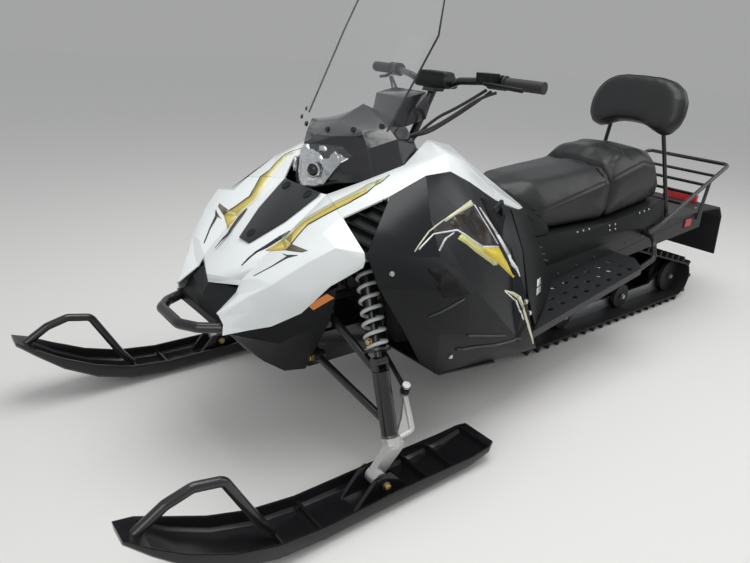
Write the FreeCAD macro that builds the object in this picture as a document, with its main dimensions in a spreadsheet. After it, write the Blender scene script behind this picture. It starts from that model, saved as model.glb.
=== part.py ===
# Two-seat snowmobile. +X points forward, +Y to the machine's left and +Z up, in millimetres.
# The origin is on the floor, under the middle of the whole machine.
import FreeCAD, Part
import math
import os

Vector = FreeCAD.Vector
Rotation = FreeCAD.Rotation
Placement = FreeCAD.Placement

doc = FreeCAD.newDocument("snowmobile")

# Driving sizes: name, millimetres or degrees
SIZES = [
    # Whole machine
    ("front_reach", 1480),
    ("ski_stance", 992),
    # Track
    ("track_width", 380),
    ("belt_thickness", 8),
    ("lug_height", 25),
    ("lug_foot", 20),
    ("lug_tip", 10),
    ("lug_count", 57),
    ("lug_band", 108),
    ("lug_band_gap", 22),
    ("belt_gap", 0.3),
    ("rear_idler_behind", 2690),
    ("rear_idler_radius", 78),
    ("rail_nose_behind", 1640),
    ("rail_nose_radius", 220),
    ("sprocket_behind", 1240),
    ("sprocket_height", 332),
    ("sprocket_radius", 80),
    ("carrier_behind", 2000),
    ("carrier_height", 350),
    ("carrier_radius", 50),
    # Slide rails and their wheels
    ("rail_spacing", 190),
    ("rail_thickness", 12),
    ("rail_depth", 50),
    ("wheel_width", 18),
    ("bogie_radius", 55),
    ("axle_radius", 10),
    ("shaft_fit", 0.05),
    ("seat_gap", 0.3),
    # Tunnel and running boards
    ("sheet_wall", 3),
    ("tunnel_half", 218),
    ("tunnel_front_behind", 1250),
    ("tunnel_rear_behind", 2700),
    ("tunnel_front_top", 455),
    ("tunnel_rear_top", 460),
    ("board_front_behind", 1290),
    ("board_rear_behind", 2010),
    ("board_front_height", 281),
    ("board_slope", 0.13),
    ("board_front_half", 420),
    ("board_rear_half", 385),
    ("board_thickness", 5),
    ("board_lip", 26),
    ("board_hole_radius", 11),
    # Skis
    ("ski_pivot_behind", 620),
    ("ski_pivot_height", 66),
    ("ski_wall", 7),
    ("ski_tip_height", 205),
    ("wear_bar_radius", 7),
    ("ski_bolt_radius", 6),
    ("ski_loop_radius", 12),
    # Front suspension
    ("kingpin_low_behind", 685),
    ("kingpin_low_half", 465),
    ("kingpin_low_height", 153),
    ("kingpin_high_behind", 690),
    ("kingpin_high_half", 395),
    ("kingpin_high_height", 352),
    ("kingpin_radius", 11),
    ("knuckle_radius", 23),
    ("arm_tube_radius", 11),
    ("shock_radius", 21),
    ("spring_radius", 33),
    ("spring_wire", 5.5),
    ("spring_turns", 7.5),
    ("tie_rod_radius", 7),
    ("rod_eye_radius", 14),
    ("rod_pin_radius", 4),
    ("rod_ball_radius", 9),
    # Steering
    ("column_rake", 28),
    ("column_radius", 13),
    ("clamp_behind", 1165),
    ("clamp_height", 985),
    ("bar_radius", 11),
    ("bar_half", 385),
    ("grip_length", 125),
    ("grip_radius", 16),
    # Body
    ("panel_wall", 5),
    ("windshield_wall", 4),
    ("engine_behind", 915),
    ("engine_base", 242),
    ("engine_length", 200),
    ("engine_width", 380),
    ("engine_height", 220),
    # Seat, backrest and rack
    ("rack_tube_radius", 9),
    ("hitch_pin_radius", 8),
    ("hitch_bar_wall", 10),
    ("hitch_bar_depth", 46),
    ("hitch_tongue_length", 176),
    ("hitch_tongue_width", 60),
    ("hitch_tongue_wall", 12),
    ("hitch_hole_depth", 100),
    ("hitch_behind", 2856),
    ("hitch_pin_behind", 2830),
    ("hitch_height", 395),
]

sheet = doc.addObject("Spreadsheet::Sheet", "sizes")
for row, (alias, value) in enumerate(SIZES, start=1):
    sheet.set("A%d" % row, alias)
    sheet.set("B%d" % row, str(value))
    sheet.setAlias("B%d" % row, alias)
doc.recompute()


def size(alias):
    return float(sheet.get(alias))


front_reach = size("front_reach")
panel_wall = size("panel_wall")
seat_gap = size("seat_gap")


def at(behind, across, height):
    """A place given by its distance behind the ski tips, across from the middle, and above the floor."""
    return Vector(front_reach - behind, across, height)


def flip(shape):
    """The same shape on the machine's other side."""
    return shape.mirror(Vector(0, 0, 0), Vector(0, 1, 0))


pieces = []


def keep(label, shape):
    """A finished piece as an object of the document, under its own label."""
    holder = doc.addObject("Part::Feature", label)
    holder.Label = label
    holder.Shape = shape
    pieces.append(holder)
    return holder


def keep_object(item, label):
    item.Label = label
    pieces.append(item)
    return item


def keep_pair(label, left_shape):
    """A piece of its own on each side of the machine."""
    keep(label + "_left", left_shape)
    keep(label + "_right", flip(left_shape))


def keep_both(label, left_shape):
    """The left and the right one of a fixed pair, as one piece of two solids."""
    return keep(label, Part.makeCompound([left_shape, flip(left_shape)]))


def one_solid(shape):
    if len(shape.Solids) == 1:
        return shape.Solids[0]
    return shape


def joined(shapes):
    if len(shapes) == 1:
        return shapes[0]
    return one_solid(shapes[0].multiFuse(shapes[1:]).removeSplitter())


def without(shape, tools):
    return one_solid(shape.cut(tools))


def largest(shape):
    """The main solid of a cut shape, without the slivers beside it."""
    return max(shape.Solids, key=lambda solid: solid.Volume)


def rod(start, end, radius):
    run = end.sub(start)
    return Part.makeCylinder(radius, run.Length, start, run)


def polygon(points):
    return Part.makePolygon(list(points) + [points[0]])


def prism_face(points):
    return Part.Face(polygon(points))


def prism(points, reach):
    """A flat outline pushed out along a vector."""
    return prism_face(points).extrude(reach)


def side_prism(outline, low_y, high_y):
    """A side-view outline of (behind, height) corners, from one place across to another."""
    corners = [at(behind, low_y, height) for behind, height in outline]
    return prism(corners, Vector(0, high_y - low_y, 0))


def tube(points, bend, radius):
    """A round tube: straight runs joined by tangent arcs."""
    edges = []
    here = points[0]
    for before, corner, after in zip(points, points[1:], points[2:]):
        back = before.sub(corner).normalize()
        ahead = after.sub(corner).normalize()
        turn = math.pi - back.getAngle(ahead)
        reach = bend * math.tan(turn / 2)
        start = corner.add(Vector(back).multiply(reach))
        end = corner.add(Vector(ahead).multiply(reach))
        inward = back.add(ahead).normalize()
        centre = corner.add(Vector(inward).multiply(bend / math.cos(turn / 2)))
        middle = centre.sub(Vector(inward).multiply(bend))
        if start.sub(here).Length > 0.01:
            edges.append(Part.LineSegment(here, start).toShape())
        edges.append(Part.Arc(start, middle, end).toShape())
        here = end
    edges.append(Part.LineSegment(here, points[-1]).toShape())
    path = Part.Wire(edges)
    circle = Part.Wire([Part.makeCircle(radius, points[0], points[1].sub(points[0]))])
    return Part.Solid(path.makePipeShell([circle], True, False))


def loft(sections):
    """A solid through closed outlines with equally many corners."""
    return Part.makeLoft([polygon(section) for section in sections], True, True)


def half_loft(sections):
    """A solid through sections that are each given for one half: (behind, [(across, height), ...])."""
    rings = []
    for behind, corners in sections:
        left = [at(behind, across, height) for across, height in corners]
        right = [at(behind, -across, height) for across, height in reversed(corners) if across > 0]
        rings.append(left + right)
    return loft(rings)


def skin(rows, wall, inside):
    """A panel of one wall's thickness: rows of corners on its outer side, the wall going inwards."""
    count = len(rows[0])
    normals = {}
    faces = []
    for i in range(len(rows) - 1):
        for j in range(count - 1):
            a, b = (i, j), (i, j + 1)
            c, d = (i + 1, j + 1), (i + 1, j)
            faces.append((a, b, c))
            faces.append((a, c, d))
    solid_faces = []
    outer = {(i, j): rows[i][j] for i in range(len(rows)) for j in range(count)}
    real = []
    for face in faces:
        p, q, r = [outer[key] for key in face]
        normal = q.sub(p).cross(r.sub(p))
        if normal.Length < 0.5:
            continue
        normal.normalize()
        middle = p.add(q).add(r).multiply(1 / 3)
        if normal.dot(middle.sub(inside)) < 0:
            normal = normal.negative()
        real.append(face)
        for key in face:
            normals[key] = normals.get(key, Vector(0, 0, 0)).add(normal)
    inner = {}
    for key, normal in normals.items():
        inner[key] = outer[key].sub(Vector(normal).normalize().multiply(wall))
    edges = {}
    for face in real:
        solid_faces.append(Part.Face(polygon([outer[key] for key in face])))
        solid_faces.append(Part.Face(polygon([inner[key] for key in face])))
        for k in range(3):
            pair = tuple(sorted((face[k], face[(k + 1) % 3])))
            edges[pair] = edges.get(pair, 0) + 1
    for (first, second), uses in edges.items():
        if uses == 1:
            solid_faces.append(Part.Face(polygon([outer[first], outer[second], inner[second]])))
            solid_faces.append(Part.Face(polygon([outer[first], inner[second], inner[first]])))
    shell = Part.makeShell(solid_faces)
    shell.sewShape()
    panel = Part.Solid(shell if shell.ShapeType == "Shell" else shell.Shells[0])
    if panel.Volume < 0:
        panel.reverse()
    return panel


# Track: a rubber belt around the sprocket, the carrier wheels, the rear idlers and the rail noses
track_half = size("track_width") / 2
belt = size("belt_thickness")
lug_height = size("lug_height")
belt_inner_low = lug_height + belt
rail_nose_height = belt_inner_low + size("rail_nose_radius")
rear_idler_height = belt_inner_low + size("rear_idler_radius")
# Rollers in the order that the belt meets them: behind, height, radius
ROLLERS = [
    (size("rear_idler_behind"), rear_idler_height, size("rear_idler_radius")),
    (size("rail_nose_behind"), rail_nose_height, size("rail_nose_radius")),
    (size("sprocket_behind"), size("sprocket_height"), size("sprocket_radius")),
    (size("carrier_behind"), size("carrier_height"), size("carrier_radius")),
]


def belt_stretches():
    """The belt's inner side as straight and round stretches, each with its length."""
    touching = []
    for index, (behind, height, radius) in enumerate(ROLLERS):
        next_behind, next_height, next_radius = ROLLERS[(index + 1) % len(ROLLERS)]
        centre = Vector(front_reach - behind, 0, height)
        next_centre = Vector(front_reach - next_behind, 0, next_height)
        run = next_centre.sub(centre)
        along = Vector(run).normalize()
        outward = Vector(along.z, 0, -along.x)
        share = (radius - next_radius) / run.Length
        normal = Vector(along).multiply(share)
        normal = normal.add(outward.multiply(math.sqrt(1 - share * share)))
        leave = centre.add(Vector(normal).multiply(radius))
        reach = next_centre.add(Vector(normal).multiply(next_radius))
        touching.append((leave, reach, normal))
    stretches = []
    for index, (leave, reach, normal) in enumerate(touching):
        stretches.append(("line", leave, reach, normal, reach.sub(leave).Length))
        behind, height, radius = ROLLERS[(index + 1) % len(ROLLERS)]
        centre = Vector(front_reach - behind, 0, height)
        start = math.atan2(normal.z, normal.x)
        next_normal = touching[(index + 1) % len(touching)][2]
        sweep = (math.atan2(next_normal.z, next_normal.x) - start) % (2 * math.pi)
        stretches.append(("arc", centre, radius, start, radius * sweep))
    return stretches


def on_belt(stretches, distance, outwards):
    """The point at a distance along the belt's inner side, moved outwards from it."""
    total = sum(stretch[4] for stretch in stretches)
    distance = distance % total
    for kind, first, second, third, length in stretches:
        if distance <= length:
            break
        distance -= length
    if kind == "line":
        along = second.sub(first).normalize()
        point = first.add(along.multiply(distance))
        return point.add(Vector(third).multiply(outwards))
    angle = third + distance / second
    reach = second + outwards
    return first.add(Vector(math.cos(angle) * reach, 0, math.sin(angle) * reach))


def make_track():
    stretches = belt_stretches()
    total = sum(stretch[4] for stretch in stretches)
    count = int(size("lug_count"))
    pitch = total / count
    foot = size("lug_foot") / 2
    tip = size("lug_tip") / 2
    plain = []
    lugged = []
    for index in range(count):
        middle = index * pitch
        plain.append(on_belt(stretches, middle - foot, belt))
        plain.append(on_belt(stretches, middle + foot, belt))
        lugged.append(on_belt(stretches, middle - foot, belt))
        lugged.append(on_belt(stretches, middle - tip, belt + lug_height))
        lugged.append(on_belt(stretches, middle + tip, belt + lug_height))
        lugged.append(on_belt(stretches, middle + foot, belt))
    inner_edges = []
    for kind, first, second, third, length in stretches:
        if kind == "line":
            inner_edges.append(Part.LineSegment(first, second).toShape())
        else:
            ends = [third, third + length / second / 2, third + length / second]
            spots = [first.add(Vector(math.cos(a) * second, 0, math.sin(a) * second)) for a in ends]
            inner_edges.append(Part.Arc(*spots).toShape())
    inner = Part.Wire(inner_edges)
    plain_face = Part.makeFace([polygon(plain), inner], "Part::FaceMakerBullseye")
    lugged_face = Part.makeFace([polygon(lugged), inner], "Part::FaceMakerBullseye")
    band = size("lug_band")
    gap = size("lug_band_gap")
    edge = (2 * track_half - 3 * band - 2 * gap) / 2
    widths = [(plain_face, edge), (lugged_face, band), (plain_face, gap), (lugged_face, band)]
    widths += [(plain_face, gap), (lugged_face, band), (plain_face, edge)]
    solids = []
    across = -track_half
    for face, width in widths:
        strip = face.copy()
        strip.translate(Vector(0, across, 0))
        solids.append(strip.extrude(Vector(0, width, 0)))
        across += width
    return joined(solids)


keep("track_belt", make_track())

# Slide rails: two aluminium rails that run along the belt's lower inside
rail_half = size("rail_spacing") / 2
rail_wall = size("rail_thickness")
rail_low = belt_inner_low + size("belt_gap")
nose_reach = size("rail_nose_radius") - size("belt_gap")
rail_depth = size("rail_depth")
axle = size("axle_radius")
shaft_fit = size("shaft_fit")
# Wheels on the rails: name, behind, height, radius, places across
WHEEL_ROWS = [
    ("bogie", 1860, rail_low + size("bogie_radius"), size("bogie_radius"), (70, 120)),
    ("bogie", 2280, rail_low + size("bogie_radius"), size("bogie_radius"), (70, 120)),
    ("rear", size("rear_idler_behind"), rear_idler_height,
     size("rear_idler_radius") - size("belt_gap"), (70, 120)),
]


def make_rails():
    nose = at(size("rail_nose_behind"), 0, rail_nose_height)
    rise = math.radians(48)
    depth_arc = nose_reach - rail_depth
    outer_mid = nose.add(Vector(math.sin(rise / 2) * nose_reach, 0, -math.cos(rise / 2) * nose_reach))
    outer_end = nose.add(Vector(math.sin(rise) * nose_reach, 0, -math.cos(rise) * nose_reach))
    inner_end = nose.add(Vector(math.sin(rise) * depth_arc, 0, -math.cos(rise) * depth_arc))
    inner_mid = nose.add(Vector(math.sin(rise / 2) * depth_arc, 0, -math.cos(rise / 2) * depth_arc))
    low_front = at(size("rail_nose_behind"), 0, rail_low)
    high_front = at(size("rail_nose_behind"), 0, rail_low + rail_depth)
    low_rear = at(2640, 0, rail_low)
    end_low = at(2725, 0, rear_idler_height - 22)
    end_high = at(2725, 0, rear_idler_height + 22)
    high_step = at(2640, 0, rear_idler_height + 22)
    high_rear = at(2560, 0, rail_low + rail_depth)
    edges = [
        Part.LineSegment(low_rear, low_front),
        Part.Arc(low_front, outer_mid, outer_end),
        Part.LineSegment(outer_end, inner_end),
        Part.Arc(inner_end, inner_mid, high_front),
        Part.LineSegment(high_front, high_rear),
        Part.LineSegment(high_rear, high_step),
        Part.LineSegment(high_step, end_high),
        Part.LineSegment(end_high, end_low),
        Part.LineSegment(end_low, low_rear),
    ]
    face = Part.Face(Part.Wire([edge.toShape() for edge in edges]))
    rails = []
    for side in (1, -1):
        rail = face.copy()
        rail.translate(Vector(0, side * rail_half - rail_wall / 2, 0))
        rail = rail.extrude(Vector(0, rail_wall, 0))
        holes = []
        for name, behind, height, radius, places in WHEEL_ROWS:
            start = at(behind, -track_half, height)
            holes.append(Part.makeCylinder(axle + shaft_fit, 2 * track_half, start, Vector(0, 1, 0)))
        rails.append(without(rail, holes))
    return Part.makeCompound(rails)


keep("slide_rails", make_rails())


def make_wheels(wanted, axle_half):
    """Rubber-rimmed wheels on their through axles."""
    width = size("wheel_width")
    groups = []
    for name, behind, height, radius, places in WHEEL_ROWS:
        if name != wanted:
            continue
        solids = [rod(at(behind, -axle_half, height), at(behind, axle_half, height), axle)]
        for place in places:
            for side in (1, -1):
                middle = side * place
                start = at(behind, middle - width / 2, height)
                solids.append(Part.makeCylinder(radius, width, start, Vector(0, 1, 0)))
        groups.append(joined(solids))
    return Part.makeCompound(groups) if len(groups) > 1 else groups[0]


keep("rail_wheels", Part.makeCompound([make_wheels("bogie", 134), make_wheels("rear", 134)]))


def make_sprockets():
    behind = size("sprocket_behind")
    height = size("sprocket_height")
    radius = size("sprocket_radius") - size("belt_gap")
    half = size("tunnel_half") - size("sheet_wall") - seat_gap
    solids = [rod(at(behind, -half, height), at(behind, half, height), 14)]
    teeth = 9
    for place in (-130, -50, 50, 130):
        outline = []
        for index in range(teeth):
            for share, reach in ((0.0, radius), (0.3, radius), (0.45, radius - 14), (0.85, radius - 14)):
                angle = 2 * math.pi * (index + share) / teeth
                outline.append(at(behind, place - 8, height).add(
                    Vector(math.cos(angle) * reach, 0, math.sin(angle) * reach)))
        solids.append(prism(outline, Vector(0, 16, 0)))
    return joined(solids)


keep("drive_sprockets", make_sprockets())


def make_carriers():
    behind = size("carrier_behind")
    height = size("carrier_height")
    half = size("tunnel_half") - size("sheet_wall") - seat_gap
    solids = [rod(at(behind, -half, height), at(behind, half, height), axle)]
    for place in (-120, 120):
        start = at(behind, place - 9, height)
        solids.append(Part.makeCylinder(size("carrier_radius") - size("belt_gap"), 18, start, Vector(0, 1, 0)))
    return joined(solids)


keep("carrier_wheels", make_carriers())


def make_torque_arms():
    """Front and rear arms: a cross shaft between the tunnel walls, two legs and a foot shaft."""
    half = size("tunnel_half") - size("sheet_wall") - seat_gap
    foot_half = rail_half - rail_wall / 2 - seat_gap
    groups = []
    for top_behind, top_height, foot_behind, foot_height in ((1500, 330, 1720, 68), (1900, 362, 2160, 72)):
        solids = [rod(at(top_behind, -half, top_height), at(top_behind, half, top_height), 12)]
        solids.append(rod(at(foot_behind, -foot_half, foot_height), at(foot_behind, foot_half, foot_height), 12))
        for place in (-60, 60):
            solids.append(rod(at(top_behind, place, top_height), at(foot_behind, place, foot_height), 12))
        groups.append(joined(solids))
    return groups


def make_rear_shock():
    """The coil-over damper between the front arm's foot and the rear arm's cross shaft."""
    low = at(1720, 0, 68)
    high = at(1900, 0, 362)
    run = high.sub(low)
    body = rod(low, high, 14)
    coil = rod(low.add(Vector(run).multiply(0.25)), low.add(Vector(run).multiply(0.85)), 30)
    return joined([body, coil])


torque_arms = make_torque_arms()
keep("rear_suspension", Part.makeCompound(torque_arms))
keep("rear_shock", without(make_rear_shock(), torque_arms))

# Tunnel: the folded sheet that spans the track, with its top under the seat
sheet_wall = size("sheet_wall")
tunnel_half = size("tunnel_half")
tunnel_front = size("tunnel_front_behind")
tunnel_rear = size("tunnel_rear_behind")
tunnel_rise = (size("tunnel_rear_top") - size("tunnel_front_top")) / (tunnel_rear - tunnel_front)


def tunnel_top(behind):
    return size("tunnel_front_top") + (behind - tunnel_front) * tunnel_rise


def board_height(behind):
    """The running board's upper face."""
    return size("board_front_height") + (behind - size("board_front_behind")) * size("board_slope")


def tunnel_envelope():
    """The tunnel's outer shape, filled."""
    low_front = board_height(tunnel_front) - size("board_thickness")
    low_rear = board_height(tunnel_rear) - size("board_thickness")
    outer = [(tunnel_front, low_front), (tunnel_rear, low_rear),
             (tunnel_rear, tunnel_top(tunnel_rear)), (tunnel_front, tunnel_top(tunnel_front))]
    return side_prism(outer, -tunnel_half, tunnel_half)


def make_tunnel():
    """The folded sheet: the envelope without all that lies inside its wall."""
    low_front = board_height(tunnel_front) - 60
    low_rear = board_height(tunnel_rear) - 60
    inner = [(tunnel_front - 5, low_front), (tunnel_rear + 5, low_rear),
             (tunnel_rear + 5, tunnel_top(tunnel_rear + 5) - sheet_wall),
             (tunnel_front - 5, tunnel_top(tunnel_front - 5) - sheet_wall)]
    hollow = side_prism(inner, -tunnel_half + sheet_wall, tunnel_half - sheet_wall)
    return without(tunnel_envelope(), [hollow])


tunnel_shape = make_tunnel()
keep("tunnel", tunnel_shape)


def make_board():
    """A running board: a perforated sheet with a lip along its outer edge."""
    front = size("board_front_behind")
    rear = size("board_rear_behind")
    thick = size("board_thickness")
    lip = size("board_lip")
    front_half = size("board_front_half")
    rear_half = size("board_rear_half")
    inner = tunnel_half
    plan = [(front, inner), (front, front_half), (rear - 60, rear_half), (rear, rear_half - 70), (rear, inner)]
    top = [at(behind, across, board_height(behind)) for behind, across in plan]
    sheet_part = prism(top, Vector(0, 0, -thick))
    edge_line = [(front, front_half), (rear - 60, rear_half)]
    lip_corners = [at(behind, across, board_height(behind)) for behind, across in edge_line]
    lip_corners += [at(behind, across - thick, board_height(behind)) for behind, across in reversed(edge_line)]
    lip_part = prism(lip_corners, Vector(0, 0, -lip))
    board = joined([sheet_part, lip_part])
    holes = []
    for column in range(9):
        behind = front + 90 + column * 66
        for across in (262, 312, 358):
            start = at(behind, across, board_height(behind) - 3 * thick)
            holes.append(Part.makeCylinder(size("board_hole_radius"), 6 * thick, start))
    return without(board, holes)


def make_board_loop():
    """The tube behind the boot: from the board's rear corner up and in to the tunnel's wall."""
    radius = 10
    rear = size("board_rear_behind")
    points = [
        at(rear - 75, 372, board_height(rear - 75) - size("board_thickness") - radius + 2),
        at(rear + 40, 372, board_height(rear + 40) + 4),
        at(rear + 60, 350, 436),
        at(rear + 145, 290, 434),
        at(rear + 195, tunnel_half + seat_gap, 428),
    ]
    return tube(points, 26, radius)


board = make_board()
keep_both("running_boards", without(joined([board, make_board_loop()]), [tunnel_envelope()]))


def make_flap():
    """The snow flap: a rubber sheet that hangs behind the track."""
    top = tunnel_top(tunnel_rear)
    outline = [(tunnel_rear, top), (2903, top - 7), (2944, 402), (2960, 205),
               (2954, 204), (2937, 400), (2898, top - 14), (tunnel_rear, top - 7)]
    return side_prism(outline, -205, 205)


keep("snow_flap", make_flap())

# Skis: plastic blades with raised side walls, a wear bar, a loop handle and a saddle for the spindle
ski_y = size("ski_stance") / 2
pivot_height = size("ski_pivot_height")
pivot_behind = size("ski_pivot_behind")
ski_wall = size("ski_wall")
wear_radius = size("wear_bar_radius")
# Ski sections: behind, sole height, floor thickness, half width, wall height above the sole
SKI_SECTIONS = [
    (0, size("ski_tip_height"), 8, 34, 16),
    (45, 168, 8, 58, 26),
    (110, 112, 8, 70, 40),
    (200, 58, 8, 74, 46),
    (300, 24, 8, 74, 46),
    (420, 2 * wear_radius - 2, 8, 72, 42),
    (560, 2 * wear_radius - 4, 8, 70, 44),
    (700, 2 * wear_radius - 4, 8, 70, 44),
    (900, 2 * wear_radius - 2, 8, 72, 36),
    (975, 26, 8, 70, 26),
    (1000, 38, 8, 58, 18),
]


def make_ski():
    blade_rings = []
    hollow_rings = []
    for behind, sole, floor, half, wall in SKI_SECTIONS:
        blade_rings.append([
            at(behind, ski_y - half + 10, sole), at(behind, ski_y + half - 10, sole),
            at(behind, ski_y + half, sole + 10), at(behind, ski_y + half, sole + wall),
            at(behind, ski_y - half, sole + wall), at(behind, ski_y - half, sole + 10)])
        inner = half - ski_wall
        hollow_rings.append([
            at(behind, ski_y - inner + 8, sole + floor), at(behind, ski_y + inner - 8, sole + floor),
            at(behind, ski_y + inner, sole + floor + 8), at(behind, ski_y + inner, sole + wall + 30),
            at(behind, ski_y - inner, sole + wall + 30), at(behind, ski_y - inner, sole + floor + 8)])
    blade = loft(blade_rings)
    hollow = loft(hollow_rings[1:-1])
    return blade, hollow


def make_ski_assembly():
    blade, hollow = make_ski()
    ski = without(blade, [hollow])
    bolt = size("ski_bolt_radius")
    ear_low = 2 * wear_radius + 2
    ears = []
    for side in (1, -1):
        inner = ski_y + side * 27
        outer = ski_y + side * 37
        outline = [(pivot_behind - 90, ear_low), (pivot_behind + 90, ear_low), (pivot_behind + 26, 86),
                   (pivot_behind - 26, 86)]
        ears.append(side_prism(outline, min(inner, outer), max(inner, outer)))
    for behind in (330, 430, 760, 850):
        sole = 2 * wear_radius + 2 if behind > 400 else 24
        low = at(behind, ski_y - 68, sole)
        ears.append(Part.makeBox(8, 136, 22, low))
    ski = joined([ski] + ears)
    bore = rod(at(pivot_behind, ski_y - 60, pivot_height), at(pivot_behind, ski_y + 60, pivot_height),
               bolt + shaft_fit)
    return without(ski, [bore])


keep_pair("ski", make_ski_assembly())


def make_wear_bar():
    low = wear_radius
    points = [at(330, ski_y, low + 12), at(400, ski_y, low), at(900, ski_y, low), at(955, ski_y, low + 8)]
    return tube(points, 60, wear_radius)


ski_shape = pieces[-2].Shape
wear_bar = without(make_wear_bar(), [ski_shape])


def make_ski_bolt():
    bolt = size("ski_bolt_radius")
    head = Part.makeCylinder(11, 8, at(pivot_behind, ski_y + 37 + seat_gap, pivot_height), Vector(0, 1, 0))
    nut = Part.makeCylinder(11, 8, at(pivot_behind, ski_y - 45 - seat_gap, pivot_height), Vector(0, 1, 0))
    shank = rod(at(pivot_behind, ski_y - 40, pivot_height), at(pivot_behind, ski_y + 40, pivot_height), bolt)
    return joined([shank, head, nut])


def make_ski_loop():
    """The carrying loop over the ski's nose."""
    radius = size("ski_loop_radius")
    points = [at(20, ski_y, 192), at(92, ski_y, 238), at(150, ski_y, 254), at(215, ski_y, 240),
              at(292, ski_y, 90), at(322, ski_y, 48)]
    loop = tube(points, 24, radius)
    return without(loop, [ski_shape])


keep_pair("ski_fittings", Part.makeCompound([wear_bar, make_ski_bolt(), make_ski_loop()]))

# Front suspension and steering legs
kingpin_low = at(size("kingpin_low_behind"), size("kingpin_low_half"), size("kingpin_low_height"))
kingpin_high = at(size("kingpin_high_behind"), size("kingpin_high_half"), size("kingpin_high_height"))
kingpin_axis = kingpin_high.sub(kingpin_low).normalize()
kingpin_radius = size("kingpin_radius")
knuckle_radius = size("knuckle_radius")
rod_ball = at(745, 446, 262)


def along_kingpin(distance):
    return kingpin_low.add(Vector(kingpin_axis).multiply(distance))


tie_inner = at(813, 45, 424)
tie_axis = tie_inner.sub(rod_ball).normalize()
# The ball's pin stands square to the tie rod
pin_axis = kingpin_axis.sub(Vector(tie_axis).multiply(kingpin_axis.dot(tie_axis))).normalize()
ball_radius = size("rod_ball_radius")


def from_ball(distance):
    return rod_ball.add(Vector(pin_axis).multiply(distance))


def make_spindle():
    """The cast leg: a collar and stud on the kingpin's line, a foot at the ski's bolt, a steering arm."""
    collar = Part.makeCylinder(27, 30, along_kingpin(-34), kingpin_axis)
    stud = Part.makeCylinder(kingpin_radius, 134, along_kingpin(-34), kingpin_axis)
    foot_half = 21
    foot = Part.makeCylinder(21, 2 * foot_half, at(pivot_behind, ski_y - foot_half, pivot_height), Vector(0, 1, 0))
    centre = along_kingpin(-20)
    centre_behind = front_reach - centre.x
    leg = [(pivot_behind - 18, pivot_height + 4), (pivot_behind + 12, pivot_height - 16),
           (centre_behind + 24, centre.z - 12), (centre_behind + 22, centre.z + 8),
           (centre_behind - 22, centre.z + 8)]
    shank = side_prism(leg, ski_y - 21, ski_y + 1)
    arm_low = centre.add(Vector(-18, 0, 0))
    elbow = Vector(rod_ball.x - 2, centre.y + 10, centre.z + 18)
    arm = tube([arm_low, elbow, from_ball(-16)], 12, 9)
    pad = Part.makeCylinder(13, 8, from_ball(-20), pin_axis)
    pin = Part.makeCylinder(size("rod_pin_radius"), 40, from_ball(-20), pin_axis)
    ball = Part.makeSphere(ball_radius, rod_ball)
    nut = Part.makeCylinder(11, 8, from_ball(12), pin_axis)
    leg_whole = joined([collar, stud, foot, shank, arm, pad, pin, ball, nut])
    bore = rod(at(pivot_behind, ski_y - 60, pivot_height), at(pivot_behind, ski_y + 60, pivot_height),
               size("ski_bolt_radius") + shaft_fit)
    return without(leg_whole, [bore])


keep_pair("spindle", make_spindle())

arm_tube = size("arm_tube_radius")
LOWER_INNER = [(640, 175, 275), (860, 175, 262)]
UPPER_INNER = [(650, 200, 425), (850, 200, 425)]
lower_outer = along_kingpin(28)
upper_outer = along_kingpin(158)


def make_knuckle():
    """The black carrier at the arms' outer ends, with two ears for the shock."""
    body = Part.makeCylinder(knuckle_radius, 172, along_kingpin(2), kingpin_axis)
    top = along_kingpin(200)
    foot = along_kingpin(165)
    ears = []
    for offset in (12.3, -20.3):
        ear = Part.makeCylinder(14, 8, top.add(Vector(offset, 0, 0)), Vector(1, 0, 0))
        web = prism([top.add(Vector(offset, 12, 0)), top.add(Vector(offset, -12, 0)),
                     foot.add(Vector(offset + top.x - foot.x, -12, 0)),
                     foot.add(Vector(offset + top.x - foot.x, 12, 0))], Vector(8, 0, 0))
        ears += [ear, web]
    return joined([body] + ears)


def make_arm(inner_places, outer):
    """An A-arm: two tubes that meet in the knuckle, with a bush at each inner end."""
    solids = []
    for behind, across, height in inner_places:
        inner = at(behind, across, height)
        solids.append(rod(inner, outer, arm_tube))
        solids.append(Part.makeCylinder(16, 36, inner.sub(Vector(18, 0, 0)), Vector(1, 0, 0)))
    return joined(solids)


def make_arms():
    whole = joined([make_knuckle(), make_arm(LOWER_INNER, lower_outer), make_arm(UPPER_INNER, upper_outer)])
    bore = Part.makeCylinder(kingpin_radius + shaft_fit, 122, along_kingpin(-2), kingpin_axis)
    return without(whole, [bore])


arms = make_arms()
keep_both("suspension_arms", arms)


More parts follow.
